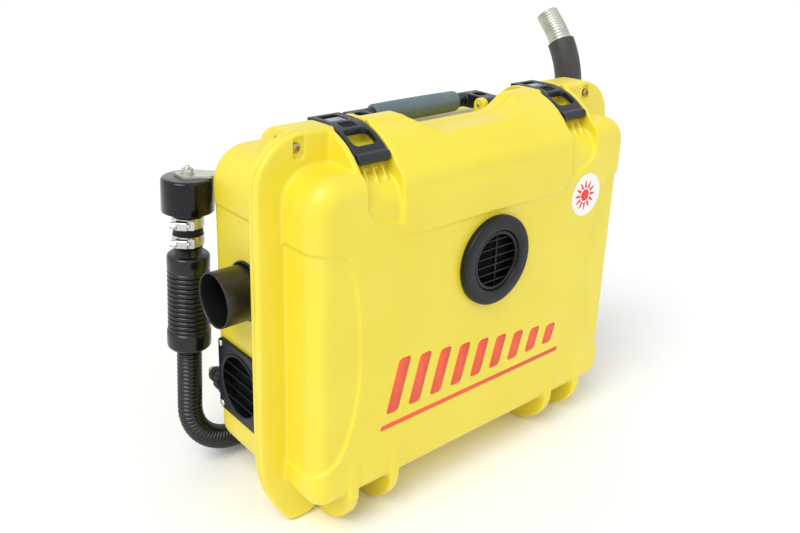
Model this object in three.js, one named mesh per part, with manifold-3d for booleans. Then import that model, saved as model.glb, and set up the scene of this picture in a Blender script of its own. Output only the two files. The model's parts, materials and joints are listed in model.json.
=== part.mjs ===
// A portable diesel air heater built into a moulded equipment case that stands on its hinge side.
// Millimetres, +Z up. X runs across the case, the lid faces -Y and the back wall faces +Y.
// Y = 0 is the parting plane between lid and base; the finished group is centred on its box.
import * as THREE from "three";
import { mergeVertices } from "three/addons/utils/BufferGeometryUtils.js";
import Module from "manifold-3d";

const wasm = await Module();
wasm.setup();

// ---- Driving dimensions ----
const GAP = 0.3; // between pieces that touch
const WALL = 4; // moulded wall of lid and base

const RIM_HALF_WIDTH = 273;
const RIM_TOP = 446;
const RIM_BOTTOM = 6.5;
const RIM_TOP_RADIUS = 54;
const RIM_FOOT_RADIUS = 84;
const FLANGE = 8; // thickness of each rim flange

const LID_HALF_WIDTH = 243;
const LID_DEPTH = 63;
const LID_EDGE = 20; // rounding of the lid's front edge
const BASE_HALF_WIDTH = 250;
const BASE_DEPTH = 120;
const BASE_EDGE = 13;
const BODY_BOTTOM = 55; // lower side of both tubs
const BODY_TOP = 410; // upper side of both tubs
const BODY_RADIUS = 48;

const RECESS_TOP = 335; // the lid's side columns lie lower between these heights
const RECESS_BOTTOM = 104;
const RECESS_INSIDE = 189;
const RECESS_DEPTH = 4;
const RECESS_RADIUS = 14;

const SHOULDER_RADIUS = 80; // round of the lid's shoulder
const BASE_SHOULDER_RADIUS = 36;
const BASE_SHOULDER_LENGTH = 60;
const SHOULDER_SKIRT = 36; // a shoulder runs this far down past the axis of its round
const SHOULDER_LAP = 20; // shoulder outlines start this far behind the parting plane
const FOOT_RADIUS = 54;
const LATCH_X = 157;
const CHANNEL_HALF_WIDTH = 22;
const RIB_THICKNESS = 6;
const CHANNEL_DEPTH = 9.5;
const BASE_CHANNEL_DEPTH = 12;
const CHANNEL_FADE = 350; // height where a channel runs out on the lid's face
const HAND_CUT_TOP = 92; // half width of the hand cut-out at the shoulder's top
const HAND_CUT_FLOOR = 64;
const HAND_CUT_Z = 433;

const HINGE_Z = 6;
const HINGE_X = 161.5;
const HINGE_PIN_RADIUS = 2;
const KNUCKLE_RADIUS = 6;
const KNUCKLE_HALF_WIDTH = 19;
const FOOT_RIB_SPREAD = 29; // from the middle of a hinge to the middle of each foot rib
const FOOT_RIB_THICKNESS = 12;

const LATCH_HALF_WIDTH = 20.5;
const LATCH_THICKNESS = 7;
const LATCH_RISE = 0.5; // the latch stays this far below the shoulder's top
const LATCH_TAIL = 42;
const LATCH_PIN_ANGLE = 43; // degrees above the level, on the shoulder's round
const LATCH_PIN_RADIUS = 2;
const LATCH_KNUCKLE_RADIUS = 4.5;
const WINDOW_HALF_WIDTH = 14;
const WINDOW_FRONT = -32;
const WINDOW_BACK = -9;
const SLIDE_HALF_WIDTH = 11;
const SLIDE_FRONT = 14;
const SLIDE_LENGTH = 15;
const SLIDE_TRAVEL = 7;
const SLIDE_HEIGHT = 5;

const PADLOCK_X = 225;
const PADLOCK_Z = 431;
const PADLOCK_SCREW_RADIUS = 3;
const PADLOCK_HEAD_RADIUS = 5;
const PADLOCK_CLEARANCE = 1.2;

const SEAL_HALF_WIDTH = 262;
const SEAL_BOTTOM = 36;
const SEAL_TOP = 419;
const SEAL_SIZE = 3;

const VENT_X = 5;
const VENT_Z = 277;
const VENT_RADIUS = 53;
const VENT_HEIGHT = 8;
const VENT_DISC_RADIUS = 35;
const VENT_SPIGOT_RADIUS = 43;
const VENT_SPIGOT_LENGTH = 16;
const VENT_SLATS = 5;
const SLAT_THICKNESS = 2.4;

const HANDLE_PIN_X = 76;
const HANDLE_PIN_Y = 34;
const HANDLE_Z = 427;
const HANDLE_REACH = 36; // from the pins to the middle of the grip
const HANDLE_HALF_WIDTH = 106;
const HANDLE_BAR_RADIUS = 9;
const HANDLE_PIN_RADIUS = 2.5;
const GRIP_RADIUS = 13;
const GRIP_HALF_LENGTH = 66;
const GRIP_GROOVES = 10;
const EAR_THICKNESS = 9;
const EAR_RADIUS = 9;

const HEATER_Y = 50;
const HEATER_Z = 266;
const HEATER_LEFT = -182;
const HEATER_RIGHT = 112;
const HEATER_HALF_DEPTH = 44;
const HEATER_HALF_HEIGHT = 54;
const CASING_WALL = 2.5;
const CASING_RADIUS = 22;
const EXCHANGER_RADIUS = 22;
const EXCHANGER_FIN_RADIUS = 37;
const EXCHANGER_FINS = 12;
const EXCHANGER_LENGTH = 150;
const BURNER_RADIUS = 13;
const MOTOR_RADIUS = 20;
const MOTOR_LENGTH = 44;
const SHAFT_RADIUS = 3;
const FAN_RADIUS = 37;
const FAN_BLADES = 8;

const DUCT_RADIUS = 30;
const DUCT_WALL = 1.5;
const DUCT_PROJECTION = 41;
const DUCT_COLLAR_RADIUS = 37;
const DUCT_COLLAR_THICKNESS = 4;

const GRILLE_Y = 64;
const GRILLE_Z = 144;
const GRILLE_SIZE = 90;
const GRILLE_THICKNESS = 4;
const GRILLE_OPENING_RADIUS = 36;
const GRILLE_SLATS = 4;
const GRILLE_SCREW_RADIUS = 2;
const SCREW_HEAD_RADIUS = 4;
const SCREW_HEAD_HEIGHT = 2;
const SCREW_LENGTH = 9;

const STACK_OVERHANG = 14; // the stack's axis stands this far outside the case's side
const STACK_X = -BASE_HALF_WIDTH - STACK_OVERHANG;
const STACK_STAND_OFF = 27; // and this far behind the case's back
const STACK_Y = BASE_DEPTH + STACK_STAND_OFF;
const STACK_TILT = 2.3; // degrees, its foot leans away from the case
const STACK_TILT_Z = 345;
const CAN_TOP = 371;
const CAN_BOTTOM = 332;
const CAN_RADIUS = 30;
const NECK_RADIUS = 14;
const NECK_BORE = 11;
const CAN_NECK_END = 311;
const SLEEVE_TOP = 329;
const SLEEVE_BOTTOM = 290;
const SLEEVE_THICKNESS = 2.4;
const CLAMP_WIDTH = 12;
const CLAMP_THICKNESS = 1.2;
const UPPER_CLAMP_Z = 320;
const LOWER_CLAMP_Z = 299;
const SILENCER_TOP = 281;
const SILENCER_RADIUS = 24.4;
const SILENCER_BAND = 18;
const SILENCER_RIBS = 11;
const SILENCER_RIB_DEPTH = 1.8;
const SILENCER_COLLAR_TOP = 188;
const SILENCER_COLLAR_RADIUS = 25.4;
const SILENCER_BOTTOM = 166;

const HOSE_RADIUS = 14.7;
const HOSE_ROOT = 12.6;
const HOSE_BORE = 11;
const HOSE_PITCH = 5.2;
const HOSE_SOCKET = 10; // length of hose inside the silencer and the elbow
const HOSE_BEND_RADIUS = 62;
const HOSE_END_Z = 22;
const HOSE_RUN = 32; // straight hose after the bend
const SOCKET_CLEARANCE = 0.8;
const ELBOW_RADIUS = 18.5;
const ELBOW_FLANGE_RADIUS = 22;
const ELBOW_LIFT = 54; // the elbow's wall port sits this far above the hose's end
const ELBOW_SPIGOT = 12; // length of the elbow inside the wall

const BRACKET_THICKNESS = 3;
const BRACKET_WIDTH = 24;
const BRACKET_LEG = 34;
const BRACKET_REACH = 42; // from the stack's axis to the bracket's foot
const BRACKET_FOOT_X = STACK_X + BRACKET_REACH;
const STUD_RADIUS = 3;
const NUT_RADIUS = 6.5;
const NUT_HEIGHT = 5;

const CONNECTOR_INSET = 17; // from the case's side to the connector's axis
const CONNECTOR_X = CONNECTOR_INSET - BASE_HALF_WIDTH;
const CONNECTOR_Z = 110;
const CONNECTOR_STEPS = [
  [14, 8],
  [13, 14],
  [9.5, 16],
]; // radius and length of each step
const CONNECTOR_BORE = 3;
const BARB_RADIUS = 5;
const BARB_LENGTH = 10;
const FUEL_LINE_RADIUS = 2.5;

const EXHAUST_STAND_OFF = 40; // from the case's side to the riser's axis
const EXHAUST_X = BASE_HALF_WIDTH + EXHAUST_STAND_OFF;
const EXHAUST_Y = 68;
const EXHAUST_Z = 181;
const EXHAUST_RADIUS = 12;
const EXHAUST_WALL = 1.2;
const EXHAUST_ELBOW_RADIUS = 24;
const EXHAUST_FLANGE_RADIUS = 26;
const EXHAUST_INLET_X = -20;
const RISER_TOP = 403;
const FLEX_LAP = 30; // flexible pipe pushed over the riser
const FLEX_RADIUS = 15.4;
const FLEX_ROOT = 14.2;
const FLEX_BORE = 13.4;
const FLEX_PITCH = 5;
const FLEX_BEND_RADIUS = 148;
const FLEX_BEND = 40; // degrees
const FLEX_TAIL = 22;
const SLEEVE_OUTER = 19;
const SLEEVE_INNER = 16.2;
const SLEEVE_START = 250;
const SLEEVE_BEND = 31; // degrees
const CLIP_Z = 330;
const CLIP_WIDTH = 14;

const PLATE_THICKNESS = 2;
const PLATE_HALF_WIDTH = 170;
const PLATE_HALF_HEIGHT = 60;
const PUMP_Z = 96;
const PUMP_X = -60;
const PUMP_RADIUS = 14;
const PUMP_LENGTH = 80;
const CONTROL_SIZE = [86, 26, 54];
const CONTROL_INSET = 64; // from the case's side
const CONTROL_X = BASE_HALF_WIDTH - CONTROL_INSET;

// Sides of round pieces, by their size.
const LARGE = 18;
const MEDIUM = 12;
const SMALL = 8;

// ---- Geometry helpers ----
const rad = THREE.MathUtils.degToRad;
const polar = (radius, degrees) => [radius * Math.cos(rad(degrees)), radius * Math.sin(rad(degrees))];

// A closed three.js geometry as a solid whose faces point out.
function solid(geometry) {
  const bare = geometry.index ? geometry.toNonIndexed() : geometry.clone();
  bare.deleteAttribute("normal");
  bare.deleteAttribute("uv");
  const merged = mergeVertices(bare, 1e-4);
  const point = merged.attributes.position;
  const index = merged.index.array;
  const corners = [];
  const [a, b, c] = [new THREE.Vector3(), new THREE.Vector3(), new THREE.Vector3()];
  let volume = 0;
  for (let i = 0; i < index.length; i += 3) {
    const [p, q, r] = [index[i], index[i + 1], index[i + 2]];
    if (p === q || q === r || r === p) continue;
    corners.push(p, q, r);
    a.fromBufferAttribute(point, p);
    b.fromBufferAttribute(point, q);
    c.fromBufferAttribute(point, r);
    volume += a.dot(b.cross(c));
  }
  const triVerts = new Uint32Array(volume < 0 ? corners.reverse() : corners);
  return new wasm.Manifold(
    new wasm.Mesh({ numProp: 3, vertProperties: new Float32Array(point.array), triVerts }),
  );
}

function geometryOf(body) {
  const made = body.getMesh();
  const points = new Float32Array(made.numVert * 3);
  for (let i = 0; i < made.numVert; i++) {
    points.set(made.vertProperties.subarray(i * made.numProp, i * made.numProp + 3), i * 3);
  }
  const geometry = new THREE.BufferGeometry();
  geometry.setAttribute("position", new THREE.BufferAttribute(points, 3));
  geometry.setIndex(new THREE.BufferAttribute(new Uint32Array(made.triVerts), 1));
  geometry.computeVertexNormals();
  return geometry;
}

const join = (first, ...rest) => rest.reduce((sum, body) => sum.add(body), first);
const cut = (first, ...rest) => rest.reduce((left, body) => left.subtract(body), first);

function box(x0, x1, y0, y1, z0, z1) {
  const geometry = new THREE.BoxGeometry(x1 - x0, y1 - y0, z1 - z0);
  geometry.translate((x0 + x1) / 2, (y0 + y1) / 2, (z0 + z1) / 2);
  return solid(geometry);
}

// Axis "x", "y" or "z", from start to end along it; the other two coordinates are given in order.
function rod(axis, start, end, u, v, radius, sides = MEDIUM) {
  const geometry = new THREE.CylinderGeometry(radius, radius, end - start, sides);
  const middle = (start + end) / 2;
  if (axis === "x") geometry.rotateZ(-Math.PI / 2).translate(middle, u, v);
  if (axis === "y") geometry.translate(u, middle, v);
  if (axis === "z") geometry.rotateX(Math.PI / 2).translate(u, v, middle);
  return solid(geometry);
}

function ring(axis, start, end, u, v, outer, inner, sides = MEDIUM) {
  return cut(rod(axis, start, end, u, v, outer, sides), rod(axis, start - 1, end + 1, u, v, inner, sides));
}

function roundedRectangle(x0, z0, x1, z1, radius, footRadius = radius) {
  const shape = new THREE.Shape();
  shape.absarc(x1 - footRadius, z0 + footRadius, footRadius, -Math.PI / 2, 0);
  shape.absarc(x1 - radius, z1 - radius, radius, 0, Math.PI / 2);
  shape.absarc(x0 + radius, z1 - radius, radius, Math.PI / 2, Math.PI);
  shape.absarc(x0 + footRadius, z0 + footRadius, footRadius, Math.PI, Math.PI * 1.5);
  return shape;
}

// An outline in X and Z, extruded along Y with rounded edges.
function slab(shape, front, back, edge = 0, curveSegments = 3) {
  const geometry = new THREE.ExtrudeGeometry(shape, {
    depth: back - front - 2 * edge,
    bevelEnabled: edge > 0,
    bevelSize: edge,
    bevelThickness: edge,
    bevelOffset: -edge,
    bevelSegments: 2,
    curveSegments,
  });
  return solid(geometry.rotateX(Math.PI / 2).translate(0, back - edge, 0));
}

// An outline in Y and Z, extruded along X.
function beam(shape, left, right, curveSegments = 3) {
  const geometry = new THREE.ExtrudeGeometry(shape, {
    depth: right - left,
    bevelEnabled: false,
    curveSegments,
  });
  const turn = new THREE.Matrix4().makeBasis(
    new THREE.Vector3(0, 1, 0),
    new THREE.Vector3(0, 0, 1),
    new THREE.Vector3(1, 0, 0),
  );
  return solid(geometry.applyMatrix4(turn).translate(left, 0, 0));
}

// An outline in X and Y, extruded up from a height.
function sheet(shape, bottom, top, curveSegments = 3) {
  const geometry = new THREE.ExtrudeGeometry(shape, {
    depth: top - bottom,
    bevelEnabled: false,
    curveSegments,
  });
  return solid(geometry.translate(0, 0, bottom));
}

function polygon(points) {
  return new THREE.Shape(points.map(([u, v]) => new THREE.Vector2(u, v)));
}

// Turned about Z from [radius, height] pairs.
function turned(profile, sides = 32) {
  const geometry = new THREE.LatheGeometry(
    profile.map(([radius, height]) => new THREE.Vector2(radius, height)),
    sides,
  );
  return geometry.rotateX(Math.PI / 2);
}

function turnedAlongZ(profile, x, y, sides) {
  return solid(turned(profile, sides).translate(x, y, 0));
}

// The profile's heights run along -Y, out of the lid's face.
function turnedAlongY(profile, x, z, sides) {
  return solid(turned(profile, sides).rotateX(Math.PI / 2).translate(x, 0, z));
}

// A round pipe along a curve.
function pipe(curve, outer, inner, steps, sides = 12) {
  const shape = new THREE.Shape();
  shape.absarc(0, 0, outer, 0, Math.PI * 2);
  if (inner > 0) {
    const hole = new THREE.Path();
    hole.absarc(0, 0, inner, 0, Math.PI * 2);
    shape.holes.push(hole);
  }
  const geometry = new THREE.ExtrudeGeometry(shape, {
    steps,
    bevelEnabled: false,
    extrudePath: curve,
    curveSegments: sides / 2,
  });
  return solid(geometry);
}

// A flat route of straight runs and one round bend, by distance from its start.
class BentRoute {
  constructor({ start, along, toward, lead, radius, angle, tail }) {
    Object.assign(this, { start, along, toward, lead, radius, angle, tail });
    this.length = lead + radius * angle + tail;
    this.side = new THREE.Vector3().crossVectors(along, toward);
  }
  at(distance) {
    const turn = THREE.MathUtils.clamp((distance - this.lead) / this.radius, 0, this.angle);
    const straight = distance - turn * this.radius;
    const tangent = this.along.clone().multiplyScalar(Math.cos(turn));
    tangent.addScaledVector(this.toward, Math.sin(turn));
    const inward = this.toward.clone().multiplyScalar(Math.cos(turn));
    inward.addScaledVector(this.along, -Math.sin(turn));
    const lead = Math.min(straight, this.lead);
    const point = this.start.clone().addScaledVector(this.along, lead);
    point.addScaledVector(this.along, this.radius * Math.sin(turn));
    point.addScaledVector(this.toward, this.radius * (1 - Math.cos(turn)));
    point.addScaledVector(tangent, straight - lead);
    return { point, tangent, inward };
  }
}

const RING_POINTS = 8;
const RIBS_PER_BORE_RING = 5;

// One unbroken ribbed tube: outer rings rise and fall once a rib, bore rings every few ribs.
function ribbedTube(route, pitch, crest, root, bore) {
  const ribs = Math.round(route.length / pitch);
  const rings = [];
  for (let i = 0; i <= ribs * 2; i++) {
    rings.push([(i / 2) * (route.length / ribs), i % 2 ? crest : root]);
  }
  for (let i = ribs; i > 0; i -= RIBS_PER_BORE_RING) rings.push([i * (route.length / ribs), bore]);
  rings.push([0, bore]);
  const points = [];
  for (const [distance, radius] of rings) {
    const { point, inward } = route.at(distance);
    for (let k = 0; k < RING_POINTS; k++) {
      const angle = (k * 2 * Math.PI) / RING_POINTS;
      const corner = point.clone().addScaledVector(inward, radius * Math.cos(angle));
      corner.addScaledVector(route.side, radius * Math.sin(angle));
      points.push(...corner.toArray());
    }
  }
  const index = [];
  for (let r = 0; r < rings.length; r++) {
    const here = r * RING_POINTS;
    const next = ((r + 1) % rings.length) * RING_POINTS;
    for (let k = 0; k < RING_POINTS; k++) {
      const turn = (k + 1) % RING_POINTS;
      index.push(here + k, here + turn, next + k, here + turn, next + turn, next + k);
    }
  }
  const geometry = new THREE.BufferGeometry();
  geometry.setAttribute("position", new THREE.Float32BufferAttribute(points, 3));
  geometry.setIndex(index);
  return solid(geometry);
}

const BEND_STEPS = 5;

// A bent route as a three.js curve: one step along each straight run and a few round the bend.
class RouteCurve extends THREE.Curve {
  constructor(route) {
    super();
    this.route = route;
    this.stations = [0];
    for (let i = 0; i <= BEND_STEPS; i++) {
      this.stations.push(route.lead + (i / BEND_STEPS) * route.radius * route.angle);
    }
    if (route.tail > 0) this.stations.push(route.length);
  }
  get steps() {
    return this.stations.length - 1;
  }
  distanceAt(t) {
    const place = THREE.MathUtils.clamp(t, 0, 1) * this.steps;
    const before = Math.min(Math.floor(place), this.steps - 1);
    return THREE.MathUtils.lerp(this.stations[before], this.stations[before + 1], place - before);
  }
  getPoint(t, target = new THREE.Vector3()) {
    return target.copy(this.route.at(this.distanceAt(t)).point);
  }
  getPointAt(t, target) {
    return this.getPoint(t, target);
  }
  getTangentAt(t, target = new THREE.Vector3()) {
    return target.copy(this.route.at(this.distanceAt(t)).tangent);
  }
}

function bentPipe(route, outer, inner, sides) {
  const curve = new RouteCurve(route);
  return pipe(curve, outer, inner, curve.steps, sides);
}

// ---- Materials ----
const paint = (color, roughness, metalness = 0) =>
  new THREE.MeshStandardMaterial({ color, roughness, metalness });
const YELLOW = () => paint(0xf2dc3c, 0.45);
const SLATE = () => paint(0x343a3e, 0.5);
const GREY = () => paint(0x7d878b, 0.6);
const BLACK = () => paint(0x141516, 0.35);
const RUBBER = () => paint(0x1c1c1c, 0.8);
const STEEL = () => paint(0xc9c9c4, 0.35, 1);
const BRASS = () => paint(0xb58a3a, 0.35, 1);
const CAST = () => paint(0x9a9a98, 0.5, 1);

const assembly = new THREE.Group();

function add(name, body, material, turn = new THREE.Matrix4()) {
  const mesh = new THREE.Mesh(geometryOf(body).applyMatrix4(turn), material);
  mesh.name = name;
  assembly.add(mesh);
}

// The leaning stack and its bracket are built upright and turned about this line along Y.
const stackTurn = new THREE.Matrix4()
  .makeTranslation(STACK_X, 0, STACK_TILT_Z)
  .multiply(new THREE.Matrix4().makeRotationY(rad(STACK_TILT)))
  .multiply(new THREE.Matrix4().makeTranslation(-STACK_X, 0, -STACK_TILT_Z));

const SIDES = [
  ["left", -1],
  ["right", 1],
];

// ---- Case outlines ----
function rimOutline() {
  return roundedRectangle(
    -RIM_HALF_WIDTH,
    RIM_BOTTOM,
    RIM_HALF_WIDTH,
    RIM_TOP,
    RIM_TOP_RADIUS,
    RIM_FOOT_RADIUS,
  );
}

function tubOutline(halfWidth, inset = 0) {
  return roundedRectangle(
    -halfWidth + inset,
    BODY_BOTTOM + inset,
    halfWidth - inset,
    BODY_TOP - inset,
    BODY_RADIUS - inset,
  );
}

// Points on a round in Y and Z, at angles above the level. way is -1 for the lid and 1 for the base.
function arcPoints(way, axisY, axisZ, radius, from, to, steps) {
  return Array.from({ length: steps + 1 }, (_, i) => {
    const [across, up] = polar(radius, from + ((to - from) * i) / steps);
    return [axisY + way * across, axisZ + up];
  });
}

// Quarter-round shoulder of the case in Y and Z, from behind the parting plane out and down.
function shoulder(way, axisY, axisZ, radius) {
  return polygon([
    [-way * SHOULDER_LAP, axisZ + radius],
    ...arcPoints(way, axisY, axisZ, radius, 90, 0, 6),
    [axisY + way * radius, axisZ - SHOULDER_SKIRT],
    [-way * SHOULDER_LAP, axisZ - SHOULDER_SKIRT],
  ]);
}

// The same round at the foot of the case, down to the ground.
function footProfile(way, reach, radius) {
  const middle = reach - radius;
  const points = [[0, BODY_BOTTOM + radius]];
  points.push([way * reach, BODY_BOTTOM + radius]);
  for (let degrees = 0; degrees <= 90; degrees += 15) {
    const [across, down] = polar(radius, degrees);
    points.push([way * (middle + across), radius - down]);
  }
  points.push([0, 0]);
  return polygon(points);
}

const ribX = CHANNEL_HALF_WIDTH + RIB_THICKNESS;
const shoulderAxisY = SHOULDER_RADIUS - LID_DEPTH;
const shoulderAxisZ = RIM_TOP - SHOULDER_RADIUS;
const baseShoulderAxisY = BASE_SHOULDER_LENGTH - BASE_SHOULDER_RADIUS;
const baseShoulderAxisZ = RIM_TOP - BASE_SHOULDER_RADIUS;

// The lid's channel under a latch, or with a margin the channel and the wall round it.
function lidChannel(x, margin = 0) {
  const inner = SHOULDER_RADIUS - CHANNEL_DEPTH - margin;
  const face = -LID_DEPTH;
  const fade = CHANNEL_FADE - margin;
  const half = CHANNEL_HALF_WIDTH + margin;
  const outline = polygon([
    [SHOULDER_LAP, shoulderAxisZ + inner],
    ...arcPoints(-1, shoulderAxisY, shoulderAxisZ, inner, 90, 0, 6),
    [face - 0.5 + margin, fade],
    [face - 20, fade],
    [face - 20, RIM_TOP + 20],
    [SHOULDER_LAP, RIM_TOP + 20],
  ]);
  return beam(outline, x - half, x + half);
}

function baseChannel(x) {
  const inner = BASE_SHOULDER_RADIUS - BASE_CHANNEL_DEPTH;
  const outline = polygon([
    [-1, baseShoulderAxisZ + inner],
    ...arcPoints(1, baseShoulderAxisY, baseShoulderAxisZ, inner, 90, 0, 6),
    [BASE_SHOULDER_LENGTH + 5, BODY_TOP],
    [BASE_SHOULDER_LENGTH + 5, RIM_TOP + 5],
    [-1, RIM_TOP + 5],
  ]);
  return beam(outline, x - CHANNEL_HALF_WIDTH, x + CHANNEL_HALF_WIDTH);
}

function handCut() {
  const shape = polygon([
    [-HAND_CUT_FLOOR, HAND_CUT_Z],
    [HAND_CUT_FLOOR, HAND_CUT_Z],
    [HAND_CUT_TOP, RIM_TOP + 1],
    [-HAND_CUT_TOP, RIM_TOP + 1],
  ]);
  return slab(shape, -LID_DEPTH - 1, FLANGE + 30);
}

function footRib(x, way, reach) {
  const left = x - FOOT_RIB_THICKNESS / 2;
  return beam(footProfile(way, reach, FOOT_RADIUS), left, left + FOOT_RIB_THICKNESS);
}

function knuckle(left, right) {
  return rod("x", left, right, 0, HINGE_Z, KNUCKLE_RADIUS, MEDIUM);
}

function hingePinHole() {
  const reach = FOOT_RIB_SPREAD + FOOT_RIB_THICKNESS;
  return SIDES.map(([, side]) =>
    rod("x", side * HINGE_X - reach, side * HINGE_X + reach, 0, HINGE_Z, HINGE_PIN_RADIUS + GAP, SMALL),
  );
}

// ---- Lid ----
function lidShell() {
  const flange = slab(rimOutline(), -FLANGE, 0);
  const tub = slab(tubOutline(LID_HALF_WIDTH), -LID_DEPTH, LID_EDGE, LID_EDGE);
  const lidSide = box(-400, 400, -200, 0, -10, 500);
  const reachX = LATCH_X + ribX;
  const crown = beam(shoulder(-1, shoulderAxisY, shoulderAxisZ, SHOULDER_RADIUS), -reachX, reachX);
  const feet = [];
  for (const [, side] of SIDES) {
    for (const spread of [-FOOT_RIB_SPREAD, FOOT_RIB_SPREAD]) {
      const x = side * HINGE_X + spread;
      feet.push(footRib(x, -1, LID_DEPTH - 4));
      feet.push(knuckle(x - FOOT_RIB_THICKNESS / 2, x + FOOT_RIB_THICKNESS / 2));
    }
  }
  const outside = join(flange, join(tub, crown).intersect(lidSide), ...feet);

  const hollow = slab(
    tubOutline(LID_HALF_WIDTH, WALL),
    -LID_DEPTH + RECESS_DEPTH + WALL,
    LID_EDGE,
    LID_EDGE - WALL,
  ).subtract(join(...SIDES.map(([, side]) => lidChannel(side * LATCH_X, WALL))));
  const innerReach = LATCH_X + CHANNEL_HALF_WIDTH;
  const innerRadius = SHOULDER_RADIUS - CHANNEL_DEPTH - WALL;
  const crownHollow = beam(
    shoulder(-1, shoulderAxisY, shoulderAxisZ, innerRadius),
    -innerReach,
    innerReach,
  ).intersect(box(-400, 400, -200, 1, 0, HAND_CUT_Z - WALL));
  const columns = SIDES.map(([, side]) => {
    const outer = side * (RIM_HALF_WIDTH + 40);
    const inner = side * RECESS_INSIDE;
    const shape = roundedRectangle(
      Math.min(outer, inner),
      RECESS_BOTTOM,
      Math.max(outer, inner),
      RECESS_TOP,
      RECESS_RADIUS,
    );
    return slab(shape, -LID_DEPTH - 5, -LID_DEPTH + RECESS_DEPTH);
  });
  const knuckleGaps = SIDES.map(([, side]) => {
    const half = KNUCKLE_HALF_WIDTH + 1;
    return box(
      side * HINGE_X - half,
      side * HINGE_X + half,
      -FLANGE - 40,
      1,
      -1,
      HINGE_Z + KNUCKLE_RADIUS + 2,
    );
  });
  const latchPins = SIDES.map(([, side]) => {
    const half = CHANNEL_HALF_WIDTH + RIB_THICKNESS + 1;
    return rod(
      "x",
      side * LATCH_X - half,
      side * LATCH_X + half,
      latchPinY,
      latchPinZ,
      LATCH_PIN_RADIUS + GAP,
      SMALL,
    );
  });
  const padlocks = SIDES.flatMap(([, side]) => [
    rod("y", -20, 1, side * PADLOCK_X, PADLOCK_Z, PADLOCK_SCREW_RADIUS + GAP, SMALL),
    rod("y", -20, -FLANGE + 2.5, side * PADLOCK_X, PADLOCK_Z, PADLOCK_HEAD_RADIUS + 3, MEDIUM),
  ]);
  const ventHole = rod("y", -LID_DEPTH - 5, 0, VENT_X, VENT_Z, VENT_SPIGOT_RADIUS + GAP, LARGE);
  const channels = SIDES.map(([, side]) => lidChannel(side * LATCH_X));
  return cut(
    outside,
    hollow,
    crownHollow,
    handCut(),
    ventHole,
    ...channels,
    ...columns,
    ...knuckleGaps,
    ...latchPins,
    ...padlocks,
    ...hingePinHole(),
  );
}

// ---- Base ----
function handleEar(side) {
  const shape = new THREE.Shape();
  shape.moveTo(HANDLE_PIN_Y - EAR_RADIUS - 4, BODY_TOP - 8);
  shape.lineTo(HANDLE_PIN_Y + EAR_RADIUS + 4, BODY_TOP - 8);
  shape.lineTo(HANDLE_PIN_Y + EAR_RADIUS, HANDLE_Z);
  shape.absarc(HANDLE_PIN_Y, HANDLE_Z, EAR_RADIUS, 0, Math.PI);
  const x = side * HANDLE_PIN_X;
  return beam(shape, x - EAR_THICKNESS / 2, x + EAR_THICKNESS / 2, 10);
}

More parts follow.
